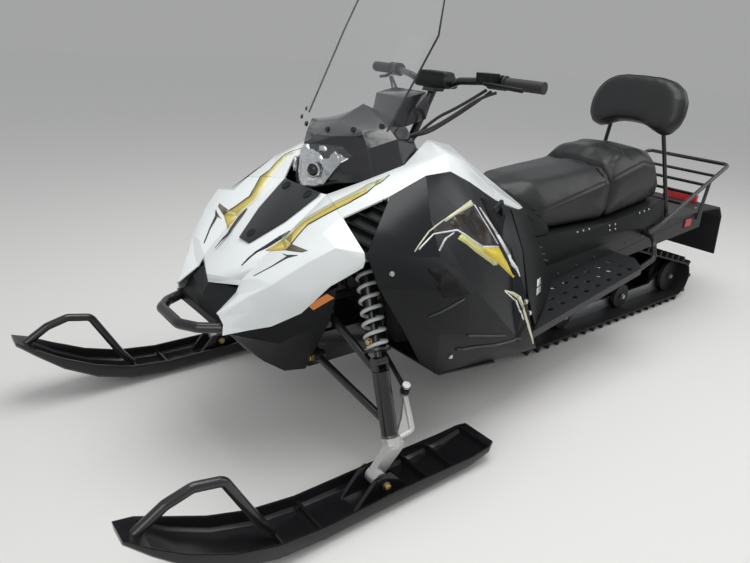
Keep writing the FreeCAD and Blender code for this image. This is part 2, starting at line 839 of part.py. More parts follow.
def make_shock():
    """Damper body, rod and eyes, with its coil spring seated between two plates."""
    low = along_kingpin(200)
    high = at(744, 228, 604)
    run = high.sub(low)
    along = Vector(run).normalize()
    length = run.Length

    def spot(distance):
        return low.add(Vector(along).multiply(distance))

    tube_radius = size("shock_radius")
    plate = size("spring_radius") + 3
    # The damper's outline from its axis: radius, distance from the low eye
    outline = [(0, 0), (10, 0), (10, 26), (plate, 26), (plate, 32), (10, 32), (10, length * 0.45),
               (tube_radius, length * 0.45), (tube_radius, length - 34), (plate, length - 34),
               (plate, length - 28), (tube_radius, length - 28), (tube_radius, length - 18), (0, length - 18)]
    turned = prism_face([Vector(reach, 0, distance) for reach, distance in outline])
    damper = turned.revolve(Vector(0, 0, 0), Vector(0, 0, 1), 360)
    damper.Placement = Placement(low, Rotation(Vector(0, 0, 1), along))
    neck = rod(spot(length - 20), high, 11)
    eyes = [
        Part.makeCylinder(14, 24, low.sub(Vector(12, 0, 0)), Vector(1, 0, 0)),
        Part.makeCylinder(15, 26, high.sub(Vector(13, 0, 0)), Vector(1, 0, 0)),
    ]
    solids = [damper, neck] + eyes
    coil_low = 26 + 6
    coil_high = length - 34
    wire = size("spring_wire")
    rise = coil_high - coil_low - 2 * wire
    reach = size("spring_radius") - wire
    helix = Part.makeLongHelix(rise / size("spring_turns"), rise, reach)
    section = Part.Wire([Part.makeCircle(wire, Vector(reach, 0, 0), Vector(0, 1, 0))])
    coil = Part.Solid(helix.makePipeShell([section], True, True))
    coil.Placement = Placement(spot(coil_low + wire), Rotation(Vector(0, 0, 1), along))
    return joined(solids), coil


damper, coil = make_shock()
damper = without(damper, [arms])
keep_both("shocks", damper)
keep_both("shock_springs", without(coil, [damper]))


def make_tie_rod():
    """A tie rod: a socket round the spindle's ball, and an end left open beside the pitman arm."""
    eye = Part.makeCylinder(size("rod_eye_radius"), 12, from_ball(-6), pin_axis)
    shaft = rod(rod_ball.add(Vector(tie_axis).multiply(11)), tie_inner, size("tie_rod_radius"))
    end = Part.makeSphere(12, tie_inner)
    socket = Part.makeSphere(ball_radius + shaft_fit, rod_ball)
    return without(joined([eye, shaft, end]), [socket])


keep_pair("tie_rod", make_tie_rod())


def make_subframe():
    """The welded bulkhead that carries the arms, the shocks and the steering hoop."""
    box = Part.makeBox(250, 318, 96, at(870, -159, 238))
    hollow = Part.makeBox(230, 298, 76, at(860, -149, 248))
    low_box = without(box, [hollow])
    tower = side_prism([(655, 330), (700, 330), (752, 640), (708, 640)], -150, 150)
    gap = side_prism([(640, 350), (780, 350), (790, 600), (640, 600)], -130, 130)
    tower = without(tower, [gap])
    beam = Part.makeBox(34, 2 * 252, 34, at(747, -252, 606))
    return joined([low_box, tower, beam])


subframe = make_subframe()
arm_tools = [arms, flip(arms), damper, flip(damper)]


def bush_pins():
    """Brackets that reach out from the bulkhead to the upper arms' inner bushes."""
    plates = []
    for behind, across, height in UPPER_INNER:
        for sign in (1, -1):
            low = at(behind + 30, sign * 150 - 0.1 * sign, height - 22)
            plates.append(Part.makeBox(60, 36, 44, Vector(low.x, low.y if sign > 0 else low.y - 36, low.z)))
    return plates


def make_bulkhead():
    rails = []
    for sign in (1, -1):
        outline = [(640, 330), (870, 330), (870, 446), (640, 446)]
        inner = [(665, 334), (848, 334), (848, 424), (665, 424)]
        low_y = sign * 150 - 6
        plate = side_prism(outline, low_y, low_y + 12)
        rails.append(without(plate, [side_prism(inner, low_y - 1, low_y + 13)]))
    whole = joined([subframe] + rails + bush_pins())
    return without(whole, arm_tools)


keep("front_subframe", make_bulkhead())

# Steering column, handlebar and its fittings
rake = math.radians(size("column_rake"))
column_axis = Vector(-math.sin(rake), 0, math.cos(rake))
clamp = at(size("clamp_behind"), 0, size("clamp_height"))


def on_column(distance):
    return clamp.add(Vector(column_axis).multiply(distance))


column_radius = size("column_radius")


def make_column():
    low = on_column(-640)
    post = Part.makeCylinder(column_radius, 658, low, column_axis)
    pitman = Part.makeCylinder(24, 10, low, column_axis)
    side_axis = column_axis.cross(Vector(0, 1, 0)).normalize()
    reach = Vector(side_axis).multiply(58)
    arm = joined([
        pitman,
        Part.makeCylinder(16, 10, low.sub(reach), column_axis),
        prism([low.add(Vector(0, 14, 0)), low.sub(Vector(0, 14, 0)), low.sub(reach).sub(Vector(0, 12, 0)),
               low.sub(reach).add(Vector(0, 12, 0))], Vector(column_axis).multiply(10)),
    ])
    block = prism([on_column(-6).add(Vector(22, 26, 0)), on_column(-6).add(Vector(-22, 26, 0)),
                   on_column(-6).add(Vector(-22, -26, 0)), on_column(-6).add(Vector(22, -26, 0))],
                  Vector(column_axis).multiply(34))
    return joined([post, arm, block])


bar_radius = size("bar_radius")
bar_half = size("bar_half")
grip_length = size("grip_length")
bar_line = on_column(18)


def bar_points(sign):
    """The bar's bends on one side, from the clamp out to its end."""
    return [
        bar_line.add(Vector(0, sign * 60, 0)),
        bar_line.add(Vector(6, sign * 115, 18)),
        bar_line.add(Vector(-24, sign * 215, 26)),
        bar_line.add(Vector(-56, sign * bar_half, 24)),
    ]


def make_handlebar():
    points = list(reversed(bar_points(-1))) + bar_points(1)
    return tube(points, 34, bar_radius)


handlebar = make_handlebar()
keep("steering_column", without(make_column(), [handlebar]))
keep("handlebar", handlebar)


def make_grips():
    solids = []
    for sign in (1, -1):
        inner, end = bar_points(sign)[-2:]
        along = end.sub(inner).normalize()
        start = end.sub(Vector(along).multiply(grip_length))
        whole = Part.makeCylinder(size("grip_radius"), grip_length + 5, start, along)
        flange = Part.makeCylinder(21, 6, start, along)
        cap = Part.makeCylinder(17, 8, end.sub(Vector(along).multiply(3)), along)
        solids.append(without(joined([whole, flange, cap]), [handlebar]))
    return Part.makeCompound(solids)


keep("hand_grips", make_grips())


def make_controls():
    """Switch blocks and levers: a brake lever on the left, a thumb throttle on the right."""
    groups = []
    for sign in (1, -1):
        inner, end = bar_points(sign)[-2:]
        along = end.sub(inner).normalize()
        start = end.sub(Vector(along).multiply(grip_length + 52))
        block = Part.makeCylinder(21, 44, start, along)
        ahead = Vector(1, 0, 0)
        if sign > 0:
            tank = Part.makeBox(44, 52, 30, start.add(Vector(8, -6, -6)))
            lever = tube([start.add(Vector(34, 10, 0)), start.add(Vector(58, 38, -4)),
                          start.add(Vector(44, 168, -10))], 14, 6)
            group = joined([block, tank, lever])
        else:
            lever = tube([start.add(Vector(12, -30, -12)), start.add(Vector(22, -48, -24)),
                          start.add(Vector(12, -92, -30))], 8, 5)
            group = joined([block, lever])
        groups.append(without(group, [handlebar]))
    return Part.makeCompound(groups)


keep("hand_controls", make_controls())


def make_hoop():
    """The steering hoop: two legs from the bulkhead, joined above by the block that bears the column."""
    legs = []
    top = on_column(-214)
    for sign in (1, -1):
        legs.append(tube([at(856, sign * 150, 447), at(960, sign * 118, 640), top.add(Vector(-4, sign * 70, 0)),
                          top.add(Vector(0, sign * 22, 0))], 40, 11))
    block = Part.makeCylinder(28, 40, on_column(-234), column_axis)
    bore = Part.makeCylinder(column_radius + shaft_fit, 60, on_column(-244), column_axis)
    return without(joined(legs + [block]), [bore])


hoop = make_hoop()
keep("steering_hoop", without(hoop, [pieces[[p.Label for p in pieces].index("front_subframe")].Shape]))

# Engine: a heavy mass behind the bulkhead, ahead of the tunnel
engine_low = at(size("engine_behind") + size("engine_length"), -size("engine_width") / 2, size("engine_base"))
engine = doc.addObject("Part::Box", "engine_block")
engine.setExpression("Length", "sizes.engine_length")
engine.setExpression("Width", "sizes.engine_width")
engine.setExpression("Height", "sizes.engine_height")
engine.Placement.Base = engine_low
doc.recompute()
keep_object(engine, "engine_block")

# Bodywork corners: each row runs rearwards, in (behind, across, height)
inside_body = at(900, 0, 480)


def row(*corners):
    return [at(*corner) for corner in corners]


def make_hood():
    """The white hood between the nose panels, from the lip to the headlamp."""
    half = [
        row((407, 0, 488), (443, 116, 510)),
        row((405, 0, 512), (447, 116, 524)),
        row((520, 0, 588), (530, 130, 598)),
        row((700, 0, 714), (704, 116, 722)),
    ]
    rows = []
    for middle, edge in half:
        rows.append([Vector(edge.x, -edge.y, edge.z), middle, edge])
    return skin(rows, panel_wall, inside_body)


hood = make_hood()


def make_insert():
    """The dark six-sided panel let into the hood."""
    rows = [
        [at(515, -29, 587), at(515, 29, 587)],
        [at(600, -76, 649), at(600, 76, 649)],
        [at(697, -98, 722), at(697, 98, 722)],
    ]
    return skin(rows, 4, inside_body)


insert = make_insert()
insert.translate(Vector(2, 0, 3))


def make_nose_panel():
    """The white panel beside the hood: a flat crown, a crease, and the fang that points forwards."""
    rows = [
        row((371, 128, 452), (371, 134, 452), (373, 142, 447), (378, 152, 428), (372, 157, 400)),
        row((430, 120, 494), (434, 150, 500), (428, 192, 507), (444, 196, 466), (436, 184, 410)),
        row((447, 116, 524), (462, 184, 548), (466, 244, 548), (484, 240, 500), (478, 216, 422)),
        row((530, 130, 598), (548, 224, 616), (536, 300, 612), (552, 292, 540), (540, 262, 462)),
        row((600, 124, 648), (606, 250, 664), (592, 338, 652), (600, 334, 588), (592, 316, 544)),
        row((704, 116, 722), (660, 262, 700), (652, 372, 640), (653, 376, 620), (652, 368, 598)),
    ]
    return skin(rows, panel_wall, at(700, 0, 420))


nose_panel = make_nose_panel()
keep_both("nose_panels", nose_panel)
hood = largest(without(hood, [nose_panel, flip(nose_panel)]))
keep("hood", hood)
insert = without(insert, [hood])
keep("hood_insert", insert)


def make_shoulder():
    """The white shoulder from beside the headlamp over the side panel to its tail."""
    rows = [
        row((704, 116, 722), (682, 190, 711), (660, 262, 700)),
        row((772, 182, 764), (776, 245, 765), (779, 302, 752)),
        row((902, 200, 803), (898, 256, 808), (893, 304, 795)),
        row((1043, 128, 855), (1020, 240, 836), (985, 300, 798)),
        row((1148, 110, 832), (1120, 225, 798), (1068, 296, 760)),
        row((1274, 152, 735), (1240, 230, 705), (1200, 280, 690)),
        row((1393, 214, 640), (1393, 226, 632), (1385, 238, 622)),
    ]
    return skin(rows, panel_wall, at(900, 0, 500))


shoulder = without(make_shoulder(), [nose_panel, hood, flip(hood)])
keep_both("shoulder_cowls", shoulder)


def make_side_panel():
    """The black side panel: an upper facet under the arch of the cowl, down to a long crease."""
    rows = [
        row((779, 302, 752), (716, 342, 696), (655, 380, 638)),
        row((893, 304, 795), (860, 372, 700), (855, 426, 608)),
        row((985, 300, 798), (985, 368, 690), (970, 430, 520)),
        row((1068, 296, 760), (1085, 362, 650), (1085, 430, 402)),
        row((1200, 280, 690), (1215, 350, 560), (1198, 426, 292)),
        row((1266, 284, 656), (1268, 352, 540), (1236, 416, 420)),
    ]
    return skin(rows, panel_wall, at(900, 0, 500))


side_panel = without(make_side_panel(), [shoulder, nose_panel])
keep_both("side_panels", side_panel)


def make_side_vent():
    """The dark louvre between crown, shoulder and side panel: a back plate and five slanted slats."""
    front = Vector(front_reach - 607, 250, 664)
    top = Vector(front_reach - 779, 302, 752)
    low = Vector(front_reach - 655, 380, 634)
    inward = top.sub(front).cross(low.sub(front)).normalize()
    if inward.dot(inside_body.sub(front)) < 0:
        inward = inward.negative()
    plate = prism([corner.add(Vector(inward).multiply(16)) for corner in (front, top, low)],
                  Vector(inward).multiply(4))
    solids = [plate]
    for share in (0.12, 0.32, 0.52, 0.72, 0.88):
        high = front.add(top.sub(front).multiply(share))
        foot = low.add(top.sub(low).multiply(share))
        run = foot.sub(high).normalize()
        tilt = run.cross(inward).normalize().multiply(10)
        lip = [high.add(Vector(inward).multiply(2)), foot.add(Vector(inward).multiply(2)),
               foot.add(Vector(inward).multiply(18)).add(tilt), high.add(Vector(inward).multiply(18)).add(tilt)]
        solids.append(prism(lip, run.cross(lip[3].sub(lip[0])).normalize().multiply(4)))
    return joined(solids)


keep_both("side_vents", without(make_side_vent(), [side_panel, shoulder, nose_panel]))


def make_lower_panel():
    """The lower cover, bulged below the crease, from the ski's arm back to the running board."""
    rows = [
        row((655, 380, 638), (670, 412, 556), (742, 430, 430), (812, 420, 312)),
        row((855, 426, 608), (850, 446, 520), (850, 452, 400), (872, 424, 258)),
        row((970, 430, 520), (960, 450, 460), (960, 456, 370), (960, 424, 246)),
        row((1085, 430, 402), (1080, 446, 350), (1085, 448, 300), (1090, 424, 234)),
        row((1198, 426, 292), (1200, 434, 270), (1200, 436, 250), (1200, 424, 224)),
        row((1240, 414, 414), (1262, 420, 340), (1290, 424, 260), (1318, 420, 214)),
    ]
    return skin(rows, panel_wall, at(900, 0, 450))


lower_panel = without(make_lower_panel(), [side_panel, board])
keep_both("lower_panels", lower_panel)


def make_belly():
    """The belly pan under the nose, open on top: a keel that drops to its rear."""
    outer = half_loft([
        (376, [(0, 402), (120, 400), (148, 404), (152, 424), (0, 424)]),
        (412, [(0, 380), (112, 376), (166, 392), (172, 420), (0, 420)]),
        (500, [(0, 262), (122, 274), (212, 366), (226, 440), (0, 440)]),
        (560, [(0, 220), (128, 228), (246, 400), (272, 500), (0, 500)]),
        (621, [(0, 214), (140, 222), (268, 424), (300, 530), (0, 530)]),
    ])
    inner = half_loft([
        (383, [(0, 407), (116, 405), (142, 409), (146, 440), (0, 440)]),
        (412, [(0, 386), (109, 382), (160, 397), (166, 440), (0, 440)]),
        (500, [(0, 268), (119, 280), (206, 369), (220, 460), (0, 460)]),
        (560, [(0, 226), (125, 234), (240, 402), (266, 520), (0, 520)]),
        (614, [(0, 220), (137, 228), (262, 426), (294, 550), (0, 550)]),
    ])
    return without(outer, [inner])


belly = largest(without(make_belly(), [nose_panel, flip(nose_panel), pieces[[p.Label for p in pieces].index("front_subframe")].Shape]))
keep("belly_pan", belly)


def make_front_grille():
    """The dark grille plate in the recess between the hood's lip, the fangs and the bumper."""
    rows = [
        row((446, -122, 500), (414, 0, 494), (446, 122, 500)),
        row((412, -126, 470), (392, 0, 462), (412, 126, 470)),
        row((384, -132, 422), (378, 0, 422), (384, 132, 422)),
    ]
    return skin(rows, 4, at(700, 0, 470))


front_grille = without(make_front_grille(), [hood, nose_panel, flip(nose_panel), belly])
keep("front_grille", front_grille)


def make_tray():
    """The tray under the engine, between the lower covers."""
    return half_loft([
        (884, [(0, 240), (424, 250), (424, 255), (0, 246)]),
        (1112, [(0, 214), (430, 226), (430, 231), (0, 220)]),
    ])


keep("engine_tray", without(make_tray(), [lower_panel, flip(lower_panel), engine.Shape]))


def make_bumper():
    """The front bumper: a short tube hoop that stands out from the belly pan's nose."""
    radius = 14
    points = [at(404, 150, 411), at(330, 104, 413), at(299, 60, 415), at(299, -60, 415),
              at(330, -104, 413), at(404, -150, 411)]
    return tube(points, 26, radius)


keep("front_bumper", largest(without(make_bumper(), [belly, front_grille, nose_panel, flip(nose_panel)])))


def make_pod():
    """The black headlamp pod and dash, between the shoulders."""
    sections = [
        (712, [(0, 714), (16, 716), (22, 760), (22, 800), (14, 842), (0, 846)]),
        (756, [(0, 722), (100, 744), (104, 770), (96, 812), (70, 868), (0, 872)]),
        (806, [(0, 730), (190, 764), (180, 792), (160, 846), (130, 888), (0, 897)]),
        (900, [(0, 760), (206, 794), (192, 812), (165, 868), (120, 896), (0, 944)]),
        (1000, [(0, 780), (140, 800), (136, 830), (112, 858), (80, 884), (0, 905)]),
    ]
    return half_loft(sections)


def make_gauge():
    """The instrument housing that stands up from the dash, tilted towards the rider."""
    return side_prism([(980, 880), (1078, 905), (1090, 938), (1072, 984), (1000, 968)], -74, 74)


pod = joined([make_pod(), make_gauge()])
column_way = Part.makeCylinder(column_radius + 7, 620, on_column(-600), column_axis)
pod = without(pod, [column_way, shoulder, flip(shoulder), nose_panel, flip(nose_panel), hoop])
keep("dash_pod", pod)


def make_lamp():
    """The clear headlamp glass in front of the pod."""
    half = [
        row((696, 0, 842), (745, 72, 845), (806, 142, 840)),
        row((686, 0, 785), (722, 62, 790), (748, 110, 803)),
        row((686, 0, 722), (702, 40, 727), (716, 70, 736)),
    ]
    rows = []
    for middle, near, edge in half:
        rows.append([Vector(edge.x, -edge.y, edge.z), Vector(near.x, -near.y, near.z), middle, near, edge])
    return skin(rows, 5, at(900, 0, 780))


lamp = without(make_lamp(), [pod, shoulder, flip(shoulder), nose_panel, flip(nose_panel), hood, insert])
keep("headlamp_glass", lamp)


def make_windshield():
    """The clear screen: arcs at its foot, waist and top, joined by ruled faces."""
    walls = []
    for wall in (0, size("windshield_wall")):
        wires = []
        for middle, side, half, low, high in ((738, 838, 200, 866, 896), (842, 978, 222, 1130, 1140),
                                              (930, 1046, 172, 1336, 1320)):
            arc = Part.Arc(at(side + wall, -half + wall * 0.4, high), at(middle + wall, 0, low),
                           at(side + wall, half - wall * 0.4, high))
            wires.append(arc.toShape())
        walls.append(wires)
    solids = []
    for index in (0, 1):
        edges = [walls[0][index], walls[0][index + 1], walls[1][index], walls[1][index + 1]]
        outer = Part.makeRuledSurface(edges[0], edges[1])
        inner = Part.makeRuledSurface(edges[2], edges[3])
        low = Part.makeRuledSurface(edges[0], edges[2])
        high = Part.makeRuledSurface(edges[1], edges[3])
        ends = []
        for end in (0, -1):
            corner = [edge.Vertexes[end].Point for edge in edges]
            ends.append(Part.Face(polygon([corner[0], corner[1], corner[3]])))
            ends.append(Part.Face(polygon([corner[0], corner[3], corner[2]])))
        shell = Part.makeShell([outer, inner, low, high] + ends)
        shell.sewShape()
        solid = Part.Solid(shell if shell.ShapeType == "Shell" else shell.Shells[0])
        if solid.Volume < 0:
            solid.reverse()
        solids.append(solid)
    return joined(solids)


windshield = make_windshield()
keep("windshield", without(windshield, [pod, shoulder, flip(shoulder)]))


def make_console():
    """The black tank cover between the dash and the seat."""
    sections = [
        (1030, [(0, 700), (96, 700), (100, 800), (70, 826), (0, 836)]),
        (1150, [(0, 560), (120, 560), (140, 720), (90, 772), (0, 790)]),
        (1300, [(0, 456.2), (160, 456.2), (176, 640), (110, 700), (0, 720)]),
        (1440, [(0, 456.5), (196, 456.5), (204, 600), (120, 656), (0, 684)]),
        (1570, [(0, 457), (206, 457), (210, 530), (160, 580), (0, 600)]),
    ]
    return half_loft(sections)


# Seat: a hard base over the tunnel, a rider's cushion and a raised passenger's cushion


def make_seat_base():
    """The hard base, with a skirt over each edge of the tunnel."""
    body = half_loft([
        (1500, [(0, 456.4), (224, 456.4), (212, 505.6), (0, 505.6)]),
        (1970, [(0, 458), (224, 458), (212, 505.6), (0, 505.6)]),
        (2345, [(0, 459.4), (224, 459.4), (208, 551.5), (0, 551.5)]),
    ])
    edge = [(1500, 388), (1970, 428.6), (2345, 454), (2345, 460.4), (1970, 459), (1500, 457.4)]
    return joined([body, side_prism(edge, 218.6, 224), side_prism(edge, -224, -218.6)])


seat_base = make_seat_base()
keep("seat_base", seat_base)
raised_base = seat_base.copy()
raised_base.translate(Vector(0, 0, seat_gap))


def make_rider_seat():
    sections = [
        (1447, [(0, 506), (88, 506), (96, 600), (62, 655), (0, 668)]),
        (1560, [(0, 506), (180, 506), (192, 585), (120, 680), (0, 692)]),
        (1860, [(0, 506), (188, 506), (197, 646), (132, 702), (0, 713)]),
        (1950, [(0, 506), (188, 506), (197, 664), (134, 714), (0, 725)]),
    ]
    return half_loft(sections)


rider_seat = without(make_rider_seat(), [seat_base, raised_base])
keep("rider_seat", rider_seat)


def make_passenger_seat():
    sections = [
        (1953, [(0, 506), (188, 506), (197, 667), (134, 728), (0, 741)]),
        (2010, [(0, 508), (188, 508), (197, 684), (142, 754), (0, 768)]),
        (2180, [(0, 528), (186, 528), (195, 724), (150, 768), (0, 776)]),
        (2270, [(0, 540), (180, 540), (190, 700), (132, 750), (0, 760)]),
        (2352, [(0, 550), (170, 550), (178, 600), (120, 642), (0, 655)]),
    ]
    return half_loft(sections)


passenger_seat = without(make_passenger_seat(), [seat_base, raised_base])
keep("passenger_seat", passenger_seat)

forward_seat = rider_seat.copy()
forward_seat.translate(Vector(seat_gap, 0, 0))
console = without(make_console(), [column_way, shoulder, flip(shoulder), hoop, tunnel_shape, pod, engine.Shape,
                                   seat_base, rider_seat, forward_seat])
console = largest(console)
keep("console", console)


def make_knee_panel():
    """The dark panel behind the knee, from the side panel's rear edge in to the tunnel's wall."""
    rows = [
        row((1276, 284, 652), (1330, 262, 640), (1400, 229, 632)),
        row((1278, 350, 536), (1390, 300, 510), (1500, 229, 492)),
        row((1252, 412, 415), (1400, 330, 405), (1562, 229, 396)),
        row((1304, 414, 300), (1450, 330, 316), (1606, 229, 330)),
    ]
    return skin(rows, 4, at(1250, 0, 300))


knee_panel = without(make_knee_panel(), [shoulder])
keep_both("knee_panels", knee_panel)


# The backrest pad's outline on one side: across, up along the pad
PAD_HALF = [(0, 34), (60, 30), (118, 10), (162, 0), (200, 14), (229, 54), (238, 106), (229, 162), (200, 208),
            (152, 238), (90, 250), (0, 253)]
# The pad's layers: depth from its back, share of the outline
PAD_LAYERS = [(0, 0.94), (12, 1.0), (50, 1.0), (76, 0.86)]


def make_backrest_pad():
    """The passenger's backrest: a rounded pad that leans back."""
    lean = math.radians(19.8)
    up = Vector(-math.sin(lean), 0, math.cos(lean))
    ahead = Vector(math.cos(lean), 0, math.sin(lean))
    foot = at(2330, 0, 800)
    outline = PAD_HALF + [(-across, height) for across, height in reversed(PAD_HALF) if across > 0]
    middle = 126
    rings = []
    for depth, share in PAD_LAYERS:
        ring = []
        for across, height in outline:
            spot = foot.add(Vector(up).multiply(middle + (height - middle) * share))
            spot = spot.add(Vector(ahead).multiply(depth))
            ring.append(spot.add(Vector(0, across * share, 0)))
        rings.append(ring)
    return loft(rings)


backrest = make_backrest_pad()
keep("backrest_pad", backrest)


def make_rack():
    """The rear rack: side tubes that rise from the tunnel's walls to a rear cross tube, slats and stays."""
    radius = size("rack_tube_radius")
    front, rear = 2300, 2866
    front_half, rear_half = 236, 214
    front_height, rear_height = 456, 664

    def beside(behind):
        share = (behind - front) / (rear - front)
        return front_half + (rear_half - front_half) * share, front_height + (rear_height - front_height) * share

    foot_half = tunnel_half + radius + seat_gap
    rail_points = [at(2225, -foot_half, 428), at(front, -front_half, front_height), at(rear, -rear_half, rear_height),
                   at(rear, rear_half, rear_height), at(front, front_half, front_height), at(2225, foot_half, 428)]
    solids = [tube(rail_points, 26, radius)]
    for behind in (2480, 2570, 2660, 2750):
        half, height = beside(behind)
        solids.append(rod(at(behind, -half, height), at(behind, half, height), 7))
    for sign in (1, -1):
        half, height = beside(2700)
        solids.append(tube([at(2700, sign * half, height), at(2665, sign * foot_half, 520),
                            at(2640, sign * foot_half, 430)], 24, radius - 1))
    return joined(solids)


rack = without(make_rack(), [tunnel_envelope(), seat_base, passenger_seat])
keep("rear_rack", rack)


def make_backrest_frame():
    """Two bent posts from the rack's front to the pad, with a cross plate."""
    solids = []
    for sign in (1, -1):
        points = [at(2402, sign * 204, 458), at(2385, sign * 192, 540), at(2366, sign * 150, 745),
                  at(2357.2, sign * 128, 846.6), at(2411.2, sign * 128, 996.6)]
        solids.append(tube(points, 60, 9))
    solids.append(rod(at(2376.8, -128, 901.1), at(2376.8, 128, 901.1), 9))
    return joined(solids)


frame_posts = without(make_backrest_frame(), [backrest, rack, tunnel_envelope(), seat_base])
keep("backrest_frame", frame_posts)


def make_tail_lamp():
    return side_prism([(2866, 446), (2892, 446), (2892, 488), (2874, 488)], -90, 90)


flap_shape = make_flap()
keep("tail_lamp", largest(without(make_tail_lamp(), [flap_shape])))


def bound(kind, name, sizes, place):
    """A primitive of the document whose sizes follow the sheet."""
    item = doc.addObject(kind, name)
    for side, alias in sizes.items():
        item.setExpression(side, "sizes." + alias)
    item.Placement.Base = place
    return item


def make_hitch():
    """The tow hitch: a cross bar between the tunnel's walls with a tongue and its vertical pin hole."""
    half = tunnel_half - sheet_wall
    height = size("hitch_height")
    cross = bound("Part::Box", "hitch_bar", {"Length": "hitch_bar_wall", "Height": "hitch_bar_depth"},
                  at(2692, -half, height))
    cross.Width = 2 * half
    tongue = bound("Part::Box", "hitch_tongue", {
        "Length": "hitch_tongue_length",
        "Width": "hitch_tongue_width",
        "Height": "hitch_tongue_wall",
    }, at(size("hitch_behind"), -size("hitch_tongue_width") / 2, height))
    hole = bound("Part::Cylinder", "hitch_hole", {"Radius": "hitch_pin_radius", "Height": "hitch_hole_depth"},
                 at(size("hitch_pin_behind"), 0, height - size("hitch_hole_depth") / 2))
    plate = doc.addObject("Part::Fuse", "hitch_plate")
    plate.Base = cross
    plate.Tool = tongue
    drilled = doc.addObject("Part::Cut", "tow_hitch")
    drilled.Base = plate
    drilled.Tool = hole
    doc.recompute()
    return drilled


keep_object(make_hitch(), "tow_hitch")


def make_reflectors():
    """Amber reflectors on the belly pan's flanks."""
    plate = side_prism([(552, 486), (597, 515), (617, 500), (569, 468)], 262, 300)
    return plate


def lay_on_flank(plate):
    """Only the outermost few millimetres of the plate, beyond the belly pan's flank."""
    shell = belly.copy()
    moved = belly.copy()
    moved.translate(Vector(0, 5, 0))
    return without(plate.common(moved), [shell])


reflector = lay_on_flank(make_reflectors())
keep_both("amber_reflectors", without(reflector, [nose_panel]))

doc.recompute()

os.makedirs("parts", exist_ok=True)
for item in doc.Objects:
    if "Invalid" in item.State or "Error" in item.State:
        raise RuntimeError("%s failed: %s" % (item.Label, item.State))
total = 0
faults = []
for piece in pieces:
    shape = piece.Shape
    if shape.isNull() or not shape.isValid() or not shape.Solids:
        faults.append(piece.Label)
    print("%-22s solids %d faces %4d volume %10.0f  z %.1f..%.1f  x %.1f..%.1f" % (
        piece.Label, len(shape.Solids), len(shape.Faces), shape.Volume,
        shape.BoundBox.ZMin, shape.BoundBox.ZMax, shape.BoundBox.XMin, shape.BoundBox.XMax))
    total += shape.Volume
    shape.exportStep(os.path.join("parts", piece.Label + ".step"))
print("pieces", len(pieces), "volume in litres", total / 1e6)
if faults:
    raise RuntimeError("these pieces have no valid shape: " + ", ".join(faults))
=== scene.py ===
import math
import bpy
from mathutils import Matrix, Vector


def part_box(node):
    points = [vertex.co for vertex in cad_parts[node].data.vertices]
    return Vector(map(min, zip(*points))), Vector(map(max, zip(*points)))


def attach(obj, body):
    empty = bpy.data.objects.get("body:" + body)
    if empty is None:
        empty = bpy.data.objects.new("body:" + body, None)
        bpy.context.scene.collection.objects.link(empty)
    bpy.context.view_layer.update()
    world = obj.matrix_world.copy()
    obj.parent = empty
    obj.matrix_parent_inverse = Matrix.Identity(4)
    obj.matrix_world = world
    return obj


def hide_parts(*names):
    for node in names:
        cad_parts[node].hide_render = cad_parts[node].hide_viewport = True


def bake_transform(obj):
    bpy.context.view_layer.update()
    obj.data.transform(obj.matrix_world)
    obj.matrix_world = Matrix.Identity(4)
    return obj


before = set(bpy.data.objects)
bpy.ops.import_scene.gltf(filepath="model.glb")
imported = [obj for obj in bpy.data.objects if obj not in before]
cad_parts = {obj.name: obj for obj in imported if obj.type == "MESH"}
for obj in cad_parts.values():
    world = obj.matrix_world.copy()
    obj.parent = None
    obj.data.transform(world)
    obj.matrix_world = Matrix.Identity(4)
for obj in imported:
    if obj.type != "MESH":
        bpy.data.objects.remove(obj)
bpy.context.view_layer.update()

bpy.ops.object.select_all(action="DESELECT")
scene = bpy.context.scene
scene.view_settings.view_transform = "Standard"

# Showroom viewpoint: a standing viewer's camera off the machine's front left corner, a pale floor and
# soft lamps overhead.
eye = Vector((1.697, 1.579, 1.139))
heading, dip, roll = (math.radians(value) for value in (48.05, 22.08, 4.03))
forward = Vector((-math.cos(heading) * math.cos(dip), -math.sin(heading) * math.cos(dip), -math.sin(dip)))
level = forward.cross(Vector((0, 0, 1))).normalized()
upright = level.cross(forward)
right = level * math.cos(roll) + upright * math.sin(roll)
top = upright * math.cos(roll) - level * math.sin(roll)
bpy.ops.object.camera_add(location=eye)
camera = bpy.context.object
camera.matrix_world = Matrix.Translation(eye) @ Matrix((right, top, -forward)).transposed().to_4x4()
camera.data.sensor_width = 36
camera.data.lens = 30.69
camera.data.shift_x = -0.0701
camera.data.shift_y = 0.0185
camera.data.clip_end = 60
scene.camera = camera

bpy.ops.mesh.primitive_plane_add(size=40, location=(0, 0, -0.001))
floor = bpy.context.object
floor.name = "pale_floor"
floor_paint = bpy.data.materials.new("pale_floor")
floor_paint.use_nodes = True
floor_shader = floor_paint.node_tree.nodes["Principled BSDF"]
floor_shader.inputs["Base Color"].default_value = (0.74, 0.73, 0.71, 1)
floor_shader.inputs["Roughness"].default_value = 0.55
floor.data.materials.append(floor_paint)

world = bpy.data.worlds.new("soft_room")
scene.world = world
world.use_nodes = True
room = world.node_tree.nodes["Background"]
room.inputs["Color"].default_value = (0.93, 0.95, 0.97, 1)
room.inputs["Strength"].default_value = 0.5
